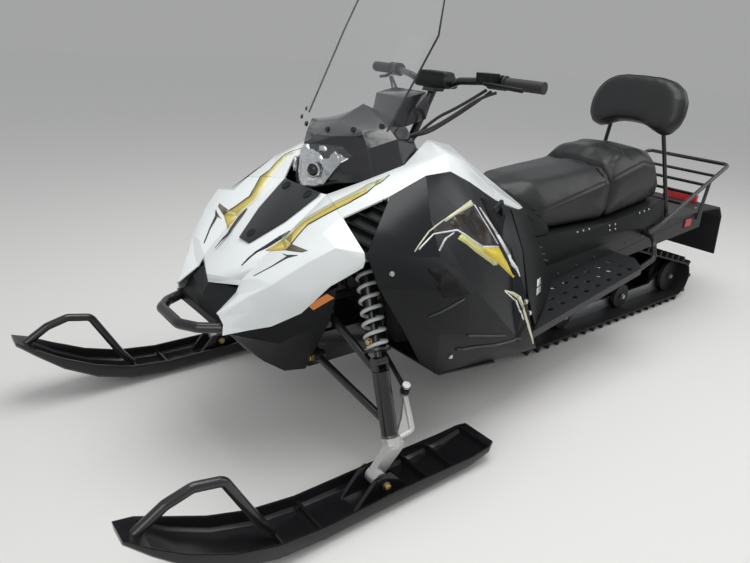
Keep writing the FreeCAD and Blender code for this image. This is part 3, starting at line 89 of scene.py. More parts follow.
# The camera alone sees a backdrop as pale as the far floor
backdrop = world.node_tree.nodes.new("ShaderNodeBackground")
backdrop.inputs["Color"].default_value = (0.368, 0.37, 0.37, 1)
ray = world.node_tree.nodes.new("ShaderNodeLightPath")
choice = world.node_tree.nodes.new("ShaderNodeMixShader")
world.node_tree.links.new(ray.outputs["Is Camera Ray"], choice.inputs["Fac"])
world.node_tree.links.new(room.outputs["Background"], choice.inputs[1])
world.node_tree.links.new(backdrop.outputs["Background"], choice.inputs[2])
world.node_tree.links.new(choice.outputs["Shader"], world.node_tree.nodes["World Output"].inputs["Surface"])
# name, place, size, power, tilt in degrees
LAMPS = [
    ("ceiling_lamp", (0.2, 0.3, 3.4), 2.6, 74, (0, 0, 0)),
    ("window_lamp", (3.2, 2.6, 2.4), 2.2, 34, (58, 0, 128)),
    ("rear_lamp", (-3.0, 1.8, 2.6), 2.2, 26, (55, 0, -125)),
]
for name, place, width, power, tilt in LAMPS:
    turn = tuple(math.radians(angle) for angle in tilt)
    bpy.ops.object.light_add(type="AREA", location=place, rotation=turn)
    lamp = bpy.context.object
    lamp.name = name
    lamp.data.size = width
    lamp.data.energy = power

# Tunnel: the machine's backbone, folded from painted aluminium sheet over the track, with a row of domed
# rivets along the lower edge of each wall.


def finish(name, colour, rough, metal=0.0, grain=420.0, bump=0.03, cloud=0.08, coat=0.0, spread=0.06,
           shine=0.5):
    """A surface with fine grain in its bump, a little unevenness in its colour and in its gloss."""
    material = bpy.data.materials.new(name)
    material.use_nodes = True
    nodes = material.node_tree.nodes
    links = material.node_tree.links
    shader = nodes["Principled BSDF"]
    shader.inputs["Metallic"].default_value = metal
    shader.inputs["Coat Weight"].default_value = coat
    shader.inputs["Coat Roughness"].default_value = 0.08
    shader.inputs["Specular IOR Level"].default_value = shine
    place = nodes.new("ShaderNodeTexCoord")
    blotch = nodes.new("ShaderNodeTexNoise")
    blotch.inputs["Scale"].default_value = 7
    blotch.inputs["Detail"].default_value = 5
    links.new(place.outputs["Object"], blotch.inputs["Vector"])
    ramp = nodes.new("ShaderNodeValToRGB")
    ramp.color_ramp.elements[0].position = 0.3
    ramp.color_ramp.elements[1].position = 0.7
    ramp.color_ramp.elements[0].color = tuple(channel * (1 - cloud) for channel in colour) + (1,)
    ramp.color_ramp.elements[1].color = tuple(min(1, channel * (1 + cloud)) for channel in colour) + (1,)
    links.new(blotch.outputs["Fac"], ramp.inputs["Fac"])
    links.new(ramp.outputs["Color"], shader.inputs["Base Color"])
    fine = nodes.new("ShaderNodeTexNoise")
    fine.inputs["Scale"].default_value = grain
    fine.inputs["Detail"].default_value = 3
    links.new(place.outputs["Object"], fine.inputs["Vector"])
    gloss = nodes.new("ShaderNodeMapRange")
    gloss.inputs["To Min"].default_value = max(0.03, rough - spread)
    gloss.inputs["To Max"].default_value = min(1.0, rough + spread)
    links.new(blotch.outputs["Fac"], gloss.inputs["Value"])
    links.new(gloss.outputs["Result"], shader.inputs["Roughness"])
    relief = nodes.new("ShaderNodeBump")
    relief.inputs["Strength"].default_value = bump
    relief.inputs["Distance"].default_value = 0.002
    links.new(fine.outputs["Fac"], relief.inputs["Height"])
    links.new(relief.outputs["Normal"], shader.inputs["Normal"])
    return material


def dress(material, *names):
    """Gives a material to CAD nodes that stay as they are."""
    for name in names:
        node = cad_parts[name]
        node.data.materials.clear()
        node.data.materials.append(material)


black_paint = finish("black_tube_paint", (0.01, 0.01, 0.011), 0.28, grain=700, bump=0.05, coat=0.3)
tunnel_paint = finish("tunnel_paint", (0.011, 0.012, 0.013), 0.42, grain=500, bump=0.08, shine=0.4)
dress(tunnel_paint, "tunnel")


def solo(thing):
    """Selects one object alone."""
    bpy.ops.object.select_all(action="DESELECT")
    thing.select_set(True)
    bpy.context.view_layer.objects.active = thing


def settle(thing, name, material, body):
    """Puts a finished piece's origin at the world's, names it, and lets it ride."""
    solo(thing)
    bpy.ops.object.transform_apply(location=True, rotation=True, scale=True)
    thing.name = name
    thing.data.materials.clear()
    thing.data.materials.append(material)
    if body:
        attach(thing, body)
    return thing


def merged(parts):
    """Joins modelled parts into one object, selected alone."""
    solo(parts[0])
    for part in parts[1:]:
        part.select_set(True)
    if len(parts) > 1:
        bpy.ops.object.join()
    return parts[0]


def placed(name, data):
    """Puts a mesh or a curve into the scene as an object, selected alone."""
    thing = bpy.data.objects.new(name, data)
    bpy.context.collection.objects.link(thing)
    solo(thing)
    return thing


def shaped(thing, kind, **settings):
    """Gives a piece one modifier with its settings, and applies it."""
    solo(thing)
    step = thing.modifiers.new(kind.lower(), kind)
    for setting, value in settings.items():
        setattr(step, setting, value)
    bpy.ops.object.modifier_apply(modifier=step.name)


def faced_out(shell):
    """Points all faces of a closed shell outwards."""
    solo(shell)
    bpy.ops.object.mode_set(mode="EDIT")
    bpy.ops.mesh.select_all(action="SELECT")
    bpy.ops.mesh.normals_make_consistent(inside=False)
    bpy.ops.object.mode_set(mode="OBJECT")
    return shell


# Place of the ski tips ahead of the origin, in metres
ski_tips = 1.480


def sketch(place):
    """A place of the drawing, (behind the ski tips, across, height) in millimetres, in metres."""
    behind, across, height = place
    return Vector((ski_tips - behind / 1000, across / 1000, height / 1000))


def turned_to(axis):
    """The turn that lays a piece's own Z along an axis."""
    return axis.to_track_quat("Z", "Y").to_euler()


def hex_head(place, axis, across_flats, height):
    """A hexagon head with a bevelled crown and a washer, standing on a surface along its axis."""
    along = Vector(axis).normalized()
    washer_height = height * 0.22
    head_middle = washer_height + height / 2
    bpy.ops.mesh.primitive_cylinder_add(vertices=24, radius=across_flats * 0.66, depth=washer_height,
                                        location=place + along * washer_height / 2, rotation=turned_to(along))
    washer = bpy.context.object
    bpy.ops.mesh.primitive_cylinder_add(vertices=6, radius=across_flats * 0.56, depth=height,
                                        location=place + along * head_middle, rotation=turned_to(along))
    head = bpy.context.object
    shaped(head, "BEVEL", width=height * 0.16, segments=2, limit_method="ANGLE")
    return [washer, head]


def dome_rivet(place, axis, radius):
    """A low domed rivet head: a flattened ball cut at its foot."""
    along = Vector(axis).normalized()
    bpy.ops.mesh.primitive_uv_sphere_add(segments=12, ring_count=8, radius=radius, location=place,
                                         rotation=turned_to(along))
    head = bpy.context.object
    bpy.ops.object.mode_set(mode="EDIT")
    bpy.ops.mesh.select_all(action="SELECT")
    bpy.ops.mesh.bisect(plane_co=place, plane_no=along, clear_inner=True, use_fill=True)
    bpy.ops.object.mode_set(mode="OBJECT")
    for vertex in head.data.vertices:
        vertex.co.z *= 0.5
    return head


def side_plate(name, outline, side, inner, outer):
    """A closed plate on one side of the machine. Its faces lie inner and outer millimetres further out than
    its (behind, across, height) outline."""
    count = len(outline)
    ring = range(count)
    rim = [(index, (index + 1) % count, (index + 1) % count + count, index + count) for index in ring]
    mesh = bpy.data.meshes.new(name)
    mesh.from_pydata([sketch((behind, side * (across + offset), height)) for offset in (inner, outer)
                      for behind, across, height in outline], [],
                     [tuple(ring), tuple(index + count for index in reversed(ring))] + rim)
    return faced_out(placed(name, mesh))


steel_finish = finish("zinc_steel", (0.56, 0.55, 0.5), 0.32, metal=1.0, grain=900, bump=0.04)
# The rivets rise to the rear with the wall's lower edge, up to the level stretch
rivet_pitch = 108
edge_rise = 0.13
level_height = 442
rivets = []
for step in range(13):
    behind = 1330 + step * rivet_pitch
    height = min(297 + (behind - 1290) * edge_rise, level_height)
    for across in (-218, 218):
        rivets.append(dome_rivet(sketch((behind, across, height)), (0, across, 0), 0.006))
settle(merged(rivets), "tunnel_rivets", black_paint, "chassis")
# Lower part of the tunnel's walls behind the boards: a wedge on each side that carries the axles and hitch
wall_thickness = 2.8
WALL_WEDGE = [(1262, 215, 270), (2700, 215, 458), (2700, 215, 385)]
wedges = [side_plate("wedge", WALL_WEDGE, side, 0, wall_thickness) for side in (1, -1)]
settle(merged(wedges), "tunnel_lower_walls", tunnel_paint, "chassis")

# Running boards: painted aluminium sheet, punched for grip, with a turned-down lip and a bent tube behind
# the boot. They are riveted to the tunnel's lower edges.
board_paint = finish("board_paint", (0.013, 0.0135, 0.015), 0.36, grain=900, bump=0.14, shine=0.45)
dress(board_paint, "running_boards")

# Slide rails and running wheels: extruded aluminium rails, rubber-rimmed wheels on through axles, and
# the welded arms and damper that press them down.
rail_metal = finish("rail_aluminium", (0.55, 0.56, 0.58), 0.34, metal=1.0, grain=260, bump=0.05)
wheel_rubber = finish("wheel_rubber", (0.011, 0.011, 0.0115), 0.55, grain=600, bump=0.1, shine=0.35)
dress(rail_metal, "slide_rails", "rear_shock")
dress(wheel_rubber, "rail_wheels", "drive_sprockets", "carrier_wheels")
dress(black_paint, "rear_suspension")
# Ends of the through axles: behind, height
AXLES = [(1860, 88.3), (2280, 88.3), (2690, 111.0)]
axle_ends = []
for behind, height in AXLES:
    for side in (-1, 1):
        axle_ends += hex_head(sketch((behind, side * 134, height)), (0, side, 0), 0.019, 0.009)
settle(merged(axle_ends), "axle_end_bolts", steel_finish, "chassis")

# Track: one moulded rubber loop with rows of lugs, driven by sprockets at its front and held tight by the
# wheels at its rear.
track_rubber = finish("track_rubber", (0.011, 0.011, 0.0115), 0.58, grain=520, bump=0.2, cloud=0.18,
                      shine=0.35)
dress(track_rubber, "track_belt")

# Front subframe, arms and shocks: bent and welded steel tube, painted black, and dampers inside wound coil
# springs that are painted grey.
spring_paint = finish("spring_paint", (0.46, 0.47, 0.47), 0.34, grain=700, bump=0.04, coat=0.4)
dress(black_paint, "front_subframe", "suspension_arms", "shocks", "steering_hoop")
dress(spring_paint, "shock_springs")

# Spindles and tie rods: sand-cast aluminium legs, each with a web below its steering arm, and black rods.
# Zinc-yellow nuts hold the kingpins, the arms' inner bushes and the shocks' eyes.
cast_metal = finish("cast_aluminium", (0.60, 0.60, 0.585), 0.45, metal=0.85, grain=520, bump=0.22, cloud=0.12)
dress(cast_metal, "spindle_left", "spindle_right")
WEB = [(699, 468, 143), (748, 482, 146), (753, 479, 160), (751, 443, 240), (740, 445, 234), (726, 458, 186),
       (712, 464, 160)]
half_web = 4.5
for body, side in (("spindle_left", 1), ("spindle_right", -1)):
    web = side_plate("web", WEB, side, -half_web, half_web)
    shaped(web, "BEVEL", width=0.0018, segments=2)
    settle(web, body + "_web", cast_metal, body)
dress(black_paint, "tie_rod_left", "tie_rod_right")
zinc_yellow = finish("zinc_yellow", (0.55, 0.42, 0.18), 0.3, metal=1.0, grain=900, bump=0.05)
# behind, across, height, half the pin's length, width across flats in metres
ARM_PINS = [
    (640, 175, 275, 18, 0.017), (860, 175, 262, 18, 0.017), (650, 200, 425, 18, 0.017),
    (850, 200, 425, 18, 0.017), (744, 228, 604, 13, 0.017), (692, 379.7, 396, 20.3, 0.015),
]
nuts = []
for side in (1, -1):
    for behind, across, height, half_pin, flats in ARM_PINS:
        nuts += hex_head(sketch((behind - half_pin, side * across, height)), (1, 0, 0), flats, 0.008)
settle(merged(nuts), "arm_nuts", zinc_yellow, "chassis")

# Skis: moulded plastic blades with raised walls. Each has a wear bar below, a loop at its nose and a
# zinc-yellow bolt through the spindle's foot, which it pitches on.
ski_plastic = finish("ski_plastic", (0.009, 0.009, 0.01), 0.22, grain=380, bump=0.05, shine=0.45)
same_place = 0.00002
flat_angle = math.radians(1.2)
smooth_angle = math.radians(32)


def moulded(name, node, width, material, body="chassis", angle=16):
    """The panel with its edges and creases rounded, as it leaves the mould."""
    panel = placed(name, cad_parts[node].data.copy())
    bpy.ops.object.mode_set(mode="EDIT")
    bpy.ops.mesh.select_all(action="SELECT")
    bpy.ops.mesh.remove_doubles(threshold=same_place)
    bpy.ops.mesh.dissolve_limited(angle_limit=flat_angle)
    bpy.ops.object.mode_set(mode="OBJECT")
    shaped(panel, "BEVEL", width=width, segments=2, limit_method="ANGLE", angle_limit=math.radians(angle))
    bpy.ops.object.shade_smooth_by_angle(angle=smooth_angle)
    settle(panel, name, material, body)
    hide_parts(node)
    return panel


for side_name in ("ski_left", "ski_right"):
    moulded(side_name + "_blade", side_name, 0.0035, ski_plastic, side_name, angle=14)
dress(black_paint, "ski_fittings_left", "ski_fittings_right")
half_bolt = 45.5
for name, side in (("left", 1), ("right", -1)):
    ends = []
    for reach in (half_bolt, -half_bolt):
        ends += hex_head(sketch((620, side * 496 + reach, 66)), (0, reach, 0), 0.017, 0.008)
    settle(merged(ends), "ski_pivot_ends_" + name, zinc_yellow, "ski_" + name)

# Engine: one cast block low in the nose, bolted to its tray. Only its dark mass shows, through the gaps
# between the covers.
cast_iron = finish("engine_casting", (0.09, 0.09, 0.095), 0.6, metal=0.6, grain=200, bump=0.3)
dress(cast_iron, "engine_block")

# Belly pan, tray, grille and lower covers: matt black moulded plastic, screwed to the subframe. The bumper
# ahead of them is bent steel tube, painted black.
matte_plastic = finish("matte_plastic", (0.006, 0.0065, 0.007), 0.44, grain=800, bump=0.1, shine=0.24)
dress(matte_plastic, "belly_pan", "engine_tray", "front_grille", "side_vents")
dress(black_paint, "front_bumper")
lower_cover = moulded("lower_covers", "lower_panels", 0.0016, matte_plastic)


def film(name, panels, rows, material, lift=0.0005, least=0.3):
    """A thin layer on moulded panels: between each two rows of edge places, the outer faces are cut out of a
    copy of the panels and lifted off them, on both sides of the machine. Least is the cosine by which a face
    has to look the film's way."""
    outside = Vector((0.3, 0.6, 0.8))
    least_edge = 0.0006
    depth = 0.06
    cuts = []
    for first, second in zip(rows, rows[1:]):
        ring = [sketch(first[0]), sketch(second[0]), sketch(second[1]), sketch(first[1])]
        ring = [place for index, place in enumerate(ring) if (place - ring[index - 1]).length > least_edge]
        middle = sum(ring, Vector()) / len(ring)
        if len(ring) == 4:
            facing = (ring[2] - ring[0]).cross(ring[3] - ring[1])
        else:
            facing = (ring[1] - ring[0]).cross(ring[2] - ring[0])
        facing.normalize()
        if facing.dot(outside) < 0:
            facing = -facing
        sheet = merged([placed(name, panel.data.copy()) for panel in panels])
        bpy.ops.object.mode_set(mode="EDIT")
        for index, place in enumerate(ring):
            outward = facing.cross(place - ring[index - 1]).normalized()
            if outward.dot(middle - place) > 0:
                outward = -outward
            bpy.ops.mesh.select_all(action="SELECT")
            bpy.ops.mesh.bisect(plane_co=place, plane_no=outward, clear_outer=True)
        bpy.ops.mesh.select_all(action="DESELECT")
        bpy.ops.object.mode_set(mode="OBJECT")
        for face in sheet.data.polygons:
            away = abs((face.center - middle).dot(facing)) > depth
            face.select = away or face.normal.dot(facing) < least
        bpy.ops.object.mode_set(mode="EDIT")
        bpy.ops.mesh.delete(type="FACE")
        bpy.ops.object.mode_set(mode="OBJECT")
        for vertex in sheet.data.vertices:
            vertex.co += facing * lift
        cuts.append(sheet)
    left = merged(cuts)
    bpy.ops.object.mode_set(mode="EDIT")
    bpy.ops.mesh.select_all(action="SELECT")
    bpy.ops.mesh.delete_loose()
    bpy.ops.mesh.select_all(action="SELECT")
    bpy.ops.mesh.remove_doubles(threshold=0.0001)
    bpy.ops.object.mode_set(mode="OBJECT")
    shaped(left, "SOLIDIFY", thickness=lift * 0.8, offset=-1)
    right = placed(name, left.data.copy())
    for vertex in right.data.vertices:
        vertex.co.y = -vertex.co.y
    bpy.ops.object.mode_set(mode="EDIT")
    bpy.ops.mesh.select_all(action="SELECT")
    bpy.ops.mesh.flip_normals()
    bpy.ops.object.mode_set(mode="OBJECT")
    settle(merged([left, right]), name, material, "chassis")


# Recess and stiffening ridges of the lower cover: (upper place, lower place) pairs along each. The
# recess has no depth of its own: a darker, duller film lies in it as painted shade.
recess_painted_shade = finish("recess_painted_shade", (0.004, 0.004, 0.005), 0.6, grain=500, bump=0.08, shine=0.2)
film("cover_recess_shade", [lower_cover], [
    [(813, 423, 585), (817, 424, 580)], [(878, 432, 572), (838, 438, 535)],
    [(965, 441, 488), (856, 447, 503)],
], recess_painted_shade, lift=0.0008)
# Ridges and ribs: a grey lighter than the black plastic, a painted highlight where their edges catch light
edge_sheen = finish("edge_sheen", (0.03, 0.034, 0.036), 0.3, grain=500, bump=0.04)
RIDGES = [
    [[(812, 442, 458), (812, 442, 454)], [(936, 446, 486), (936, 446, 481)]],
    [[(927, 442, 331), (927, 442, 323)], [(1217, 431, 284), (1217, 431, 279)]],
    [[(951, 455, 374), (951, 455, 368)], [(1135, 439, 320), (1135, 439, 315)]],
]
for number, ridge in enumerate(RIDGES):
    film("cover_ridge_%d" % number, [lower_cover], ridge, edge_sheen, lift=0.0028)
cover_screws = []
for behind, across, height in ((712, 407, 584), (914, 435, 307)):
    for side in (1, -1):
        cover_screws += hex_head(sketch((behind, side * across, height)), (0.25, side, 0.15), 0.011, 0.004)
settle(merged(cover_screws), "cover_screws", steel_finish, "chassis")

# Hood, nose panels and shoulders: gloss white moulded plastic, screwed together along their seams. A dark
# insert lies in the hood, held by black quarter-turn clips in round seats.
white_gloss = finish("white_gloss", (0.80, 0.83, 0.83), 0.2, grain=60, bump=0.004, cloud=0.012, coat=0.5,
                     spread=0.03)
hood = moulded("hood_shell", "hood", 0.0018, white_gloss)
nose = moulded("nose_shells", "nose_panels", 0.0018, white_gloss)
shoulders = moulded("shoulder_shells", "shoulder_cowls", 0.0018, white_gloss)
insert_plastic = finish("insert_plastic", (0.02, 0.022, 0.024), 0.36, grain=500, bump=0.08, shine=0.4)
moulded("hood_insert_panel", "hood_insert", 0.0012, insert_plastic)


def round_ring(place, axis, radius, wire, around, section):
    """A ring around an axis: its radius, its wire's radius, and the number of faces around each."""
    bpy.ops.mesh.primitive_torus_add(major_radius=radius, minor_radius=wire, major_segments=around,
                                     minor_segments=section, location=place, rotation=turned_to(axis))
    return bpy.context.object


clip_parts = []
hood_slope = Vector((0.596, 0, 0.803))
for behind, across, height in ((679, -60, 713), (679, 60, 713), (536, 0, 606)):
    place = sketch((behind, across, height)) + hood_slope * 0.0005
    clip_parts.append(round_ring(place, hood_slope, 0.0125, 0.0022, 32, 8))
    bpy.ops.mesh.primitive_cylinder_add(vertices=32, radius=0.0115, depth=0.003, location=place,
                                        rotation=turned_to(hood_slope))
    disc = bpy.context.object
    shaped(disc, "BEVEL", width=0.001, segments=2)
    clip_parts.append(disc)
settle(merged(clip_parts), "insert_clips", matte_plastic, "chassis")

# Stripes of the nose: printed films in gold, pale gold and black. Each row is a pair of edge places,
# (behind the ski tips, across, height) in millimetres, and the row runs on to the next. A stripe has its
# name, film, slot, lift off the panel in metres, and rows.
pale_gold = finish("pale_gold_film", (0.66, 0.66, 0.45), 0.28, grain=300, bump=0.01, cloud=0.12, coat=0.3)
gold = finish("gold_film", (0.58, 0.46, 0.09), 0.28, grain=300, bump=0.01, cloud=0.2, coat=0.3)
dark_gold = finish("dark_gold_film", (0.13, 0.10, 0.05), 0.3, grain=900, bump=0.02, cloud=0.5, coat=0.3)
black_film = finish("black_film", (0.006, 0.006, 0.007), 0.25, grain=300, bump=0.01, coat=0.3)
NOSE_STRIPES = [
    ("nose_stripe_pale", pale_gold, "white_gloss", 0.0004, [
        [(559, 131, 619), (558, 180, 623)], [(591, 126, 642), (583, 172, 640)],
        [(622, 126, 664), (617, 164, 663)], [(656, 147, 690), (646, 186, 685)],
        [(692, 172, 716), (677, 210, 709)], [(743, 198, 745), (728, 226, 735)],
        [(796, 216, 772), (772, 241, 763)], [(833, 221, 785), (833, 224, 785)],
    ]),
    ("nose_stripe_gold", gold, "white_gloss", 0.0006, [
        [(564, 142, 624), (558, 180, 623)], [(590, 140, 642), (583, 172, 640)],
        [(621, 140, 664), (617, 164, 663)], [(653, 160, 688), (646, 186, 685)],
        [(687, 186, 714), (677, 210, 709)], [(735, 213, 741), (728, 226, 735)],
        [(758, 226, 755), (752, 236, 750)],
    ]),
    ("nose_stripe_barb", gold, "white_gloss", 0.0006, [
        [(521, 114, 591), (520, 117, 591)], [(559, 131, 619), (541, 184, 609)],
        [(558, 180, 623), (544, 202, 612)],
    ]),
    ("nose_stripe_dark", dark_gold, "black_satin", 0.0007, [
        [(558, 180, 623), (541, 184, 609)], [(559, 225, 625), (547, 222, 615)],
        [(561, 260, 627), (552, 248, 620)],
    ]),
    ("nose_stripe_edge", black_film, "black_satin", 0.0009, [
        [(558, 180, 623), (557, 186, 622)], [(583, 172, 640), (582, 177, 640)],
        [(617, 164, 663), (615, 170, 662)], [(646, 186, 685), (644, 190, 684)],
        [(677, 210, 709), (675, 214, 708)], [(720, 222, 730), (719, 225, 728)],
        [(751, 236, 749), (750, 239, 747)], [(797, 236, 773), (795, 240, 772)],
        [(835, 222, 786), (834, 225, 786)],
    ]),
    ("nose_stripe_black", black_film, "black_satin", 0.0009, [
        [(466, 82, 550), (466, 85, 549)], [(507, 83, 582), (508, 94, 583)], [(530, 93, 597), (527, 109, 595)],
        [(562, 107, 620), (559, 126, 619)], [(587, 123, 639), (586, 129, 638)],
    ]),
    ("nose_stripe_arrow", black_film, "black_satin", 0.0009, [
        [(465, 153, 544), (464, 157, 544)], [(498, 185, 574), (497, 191, 574)],
        [(530, 205, 600), (528, 218, 601)], [(538, 225, 609), (530, 221, 602)],
        [(543, 243, 613), (541, 241, 611)],
    ]),
    ("nose_stripe_hook", black_film, "black_satin", 0.0009, [
        [(532, 180, 601), (532, 184, 601)], [(534, 204, 604), (531, 210, 601)],
        [(538, 225, 609), (530, 221, 602)],
    ]),
]
for name, material, slot, lift, rows in NOSE_STRIPES:
    film(name, [hood, nose, shoulders], rows, material, lift)

# Side panels: satin black moulded covers with a folded upper facet, clipped to the hood. Their stripes are
# printed films in cream, yellow, white and dark brown, listed as those of the nose are.
satin_black = finish("satin_black", (0.008, 0.009, 0.0105), 0.28, grain=420, bump=0.03, shine=0.34)
sides = moulded("side_covers", "side_panels", 0.0018, satin_black)
cream = finish("cream_film", (0.62, 0.60, 0.42), 0.3, grain=300, bump=0.01, cloud=0.1, coat=0.2)
yellow = finish("yellow_film", (0.68, 0.52, 0.04), 0.3, grain=300, bump=0.01, cloud=0.12, coat=0.2)
pale_yellow = finish("pale_yellow_film", (0.58, 0.55, 0.2), 0.3, grain=300, bump=0.01, cloud=0.2, coat=0.2)
white_film = finish("white_film", (0.7, 0.71, 0.7), 0.3, grain=300, bump=0.01, cloud=0.03, coat=0.2)
brown_film = finish("brown_film", (0.028, 0.02, 0.014), 0.3, grain=900, bump=0.02, cloud=0.4, coat=0.2)
SIDE_STRIPES = [
    ("side_stripe_line", cream, "white_gloss", 0.0005, [
        [(786, 401, 630), (787, 402, 627)], [(844, 385, 672), (846, 387, 669)],
        [(902, 373, 690), (905, 374, 687)],
    ]),
    ("side_stripe_cream", cream, "white_gloss", 0.0005, [
        [(902, 373, 690), (912, 375, 684)], [(921, 370, 695), (950, 368, 695)],
        [(1041, 332, 720), (1051, 338, 705)],
    ]),
    ("side_stripe_brown", brown_film, "black_satin", 0.0004, [
        [(876, 385, 665), (877, 386, 664)], [(921, 377, 675), (950, 381, 660)],
        [(950, 368, 695), (985, 386, 636)], [(1043, 342, 704), (1056, 382, 597)],
        [(1052, 342, 699), (1140, 366, 578)],
    ]),
    ("side_stripe_rim", white_film, "white_gloss", 0.0006, [
        [(800, 401, 634), (802, 403, 631)], [(854, 392, 665), (856, 393, 662)],
        [(950, 381, 660), (950, 382, 655)], [(1056, 382, 597), (1053, 383, 592)],
        [(1142, 366, 578), (1142, 366, 573)],
    ]),
    ("side_stripe_pale", pale_yellow, "white_gloss", 0.0005, [
        [(964, 385, 646), (946, 390, 636)], [(1055, 383, 592), (1035, 391, 576)],
        [(1085, 384, 571), (1102, 390, 531)], [(1125, 381, 535), (1127, 383, 526)],
    ]),
    ("side_stripe_yellow", yellow, "white_gloss", 0.0007, [
        [(1055, 383, 592), (1056, 387, 577)], [(1141, 367, 574), (1125, 382, 534)],
        [(1182, 370, 520), (1171, 379, 498)], [(1214, 378, 473), (1211, 378, 467)],
    ]),
    ("side_stripe_white", white_film, "white_gloss", 0.0006, [
        [(1077, 335, 696), (1073, 337, 695)], [(1110, 341, 660), (1096, 350, 659)],
        [(1149, 354, 609), (1134, 360, 608)], [(1208, 358, 538), (1189, 363, 539)],
        [(1225, 380, 496), (1219, 377, 492)], [(1228, 391, 473), (1225, 389, 472)],
    ]),
    ("side_stripe_thin", white_film, "white_gloss", 0.0007, [
        [(1050, 338, 706), (1055, 336, 706)], [(1077, 362, 653), (1082, 361, 654)],
        [(1135, 366, 584), (1141, 364, 584)],
    ]),
    ("side_stripe_hook", white_film, "white_gloss", 0.0005, [
        [(855, 416, 625), (861, 416, 622)], [(902, 389, 646), (909, 390, 643)],
        [(935, 384, 654), (939, 384, 652)],
    ]),
]
for name, material, slot, lift, rows in SIDE_STRIPES:
    film(name, [sides], rows, material, lift)
film("low_stripe_gold", [sides, lower_cover], [
    [(1153, 397, 447), (1155, 398, 444)], [(1222, 405, 415), (1214, 401, 405)],
    [(1231, 417, 382), (1221, 416, 382)], [(1270, 423, 300), (1256, 424, 303)],
    [(1300, 422, 236), (1292, 423, 238)],
], cream, 0.0006)
film("low_stripe_line", [sides, lower_cover], [
    [(1157, 397, 443), (1153, 398, 442)], [(1212, 402, 401), (1208, 400, 398)],
    [(1217, 416, 373), (1213, 414, 371)], [(1236, 421, 338), (1230, 421, 337)],
], white_film, 0.0008)
# Cover catch: a recess, shown by a dark film of painted shade, with a rubber pull and its hook beside
# the white stripe
film("catch_recess_shade", [sides], [
    [(1104, 309, 716), (1118, 340, 655)], [(1168, 291, 695), (1150, 355, 606)],
    [(1236, 300, 648), (1162, 358, 584)],
], recess_painted_shade, lift=0.0003)


def soft_block(place, size, turn, edge, segments=3):
    """A moulded block with rounded edges, turned by angles in degrees."""
    bpy.ops.mesh.primitive_cube_add(size=1, location=place)
    block = bpy.context.object
    block.scale = size
    block.rotation_euler = tuple(math.radians(angle) for angle in turn)
    bpy.ops.object.transform_apply(location=False, rotation=True, scale=True)
    shaped(block, "BEVEL", width=edge, segments=segments)
    return block


catches = []
for side in (1, -1):
    turn = (0, 24, side * 10)
    catches.append(soft_block(sketch((1196, side * 297, 674)), (0.05, 0.012, 0.022), turn, 0.003))
    catches.append(soft_block(sketch((1212, side * 297, 662)), (0.014, 0.02, 0.034), turn, 0.003))
settle(merged(catches), "cover_catches", wheel_rubber, "chassis")
side_screws = []
for behind, across, height in ((1236, 416, 396), (1262, 416, 352)):
    for side in (1, -1):
        side_screws += hex_head(sketch((behind, side * across, height)), (-0.2, side, 0.1), 0.013, 0.006)
settle(merged(side_screws), "side_screws", steel_finish, "chassis")

# Pod: glossy black moulded plastic around the headlamp and the gauge, screwed onto the hood's rear end
# below the windshield.
pod_gloss = finish("pod_gloss", (0.014, 0.014, 0.016), 0.16, grain=120, bump=0.01, coat=0.4)
moulded("pod_shell", "dash_pod", 0.003, pod_gloss)

# Headlamp: clear moulded plastic over a faceted bright reflector, with a dark projector lens in bright
# rings on each side. It is clipped into the pod's front.


def clear(name, tint, rough, alpha):
    """Clear moulded plastic that lets light through."""
    material = finish(name, tint, rough, grain=30, bump=0.003, cloud=0.01, spread=0.02)
    shader = material.node_tree.nodes["Principled BSDF"]
    shader.inputs["Alpha"].default_value = alpha
    shader.inputs["Specular IOR Level"].default_value = 0.7
    return material


lamp_glass = clear("lamp_glass", (0.5, 0.53, 0.55), 0.04, 0.05)
dress(lamp_glass, "headlamp_glass")
chrome = finish("reflector_chrome", (0.72, 0.73, 0.74), 0.12, metal=1.0, grain=200, bump=0.06, cloud=0.2)
mirror = placed("lamp_reflector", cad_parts["headlamp_glass"].data.copy())
bpy.ops.object.mode_set(mode="EDIT")
bpy.ops.mesh.select_all(action="SELECT")
bpy.ops.mesh.remove_doubles(threshold=same_place)
bpy.ops.mesh.select_all(action="DESELECT")
bpy.ops.object.mode_set(mode="OBJECT")
lamp_heart = sketch((900, 0, 780))
mirror_scale = 0.962
for face in mirror.data.polygons:
    face.select = face.normal.dot((face.center - lamp_heart).normalized()) < 0.12
bpy.ops.object.mode_set(mode="EDIT")
bpy.ops.mesh.delete(type="FACE")
bpy.ops.mesh.select_all(action="SELECT")
bpy.ops.mesh.subdivide(number_cuts=7, smoothness=0)
bpy.ops.object.mode_set(mode="OBJECT")
for vertex in mirror.data.vertices:
    vertex.co = lamp_heart + (vertex.co - lamp_heart) * mirror_scale
facets = bpy.data.textures.new("facets", "VORONOI")
facets.noise_scale = 0.02
shaped(mirror, "DISPLACE", texture=facets, texture_coords="LOCAL", strength=0.006, mid_level=0.5)
settle(mirror, "lamp_reflector", chrome, "chassis")
rings = []
lenses = []
for side in (1, -1):
    look = Vector((0.83, side * 0.55, 0.06)).normalized()
    place = sketch((703, side * 47, 776)) + look * 0.001
    rings.append(round_ring(place, look, 0.0185, 0.0035, 36, 10))
    rings.append(round_ring(place + look * 0.002, look, 0.011, 0.0018, 28, 8))
    lenses.append(dome_rivet(place, look, 0.016))
settle(merged(rings), "projector_rings", chrome, "chassis")
settle(merged(lenses), "projector_lenses", black_film, "chassis")

# Windshield: one bent sheet of clear plastic with a black bead round its edge, fixed to the pod by six
# black screws along its foot.
screen_plastic = clear("screen_plastic", (0.5, 0.54, 0.56), 0.05, 0.06)
dress(screen_plastic, "windshield")


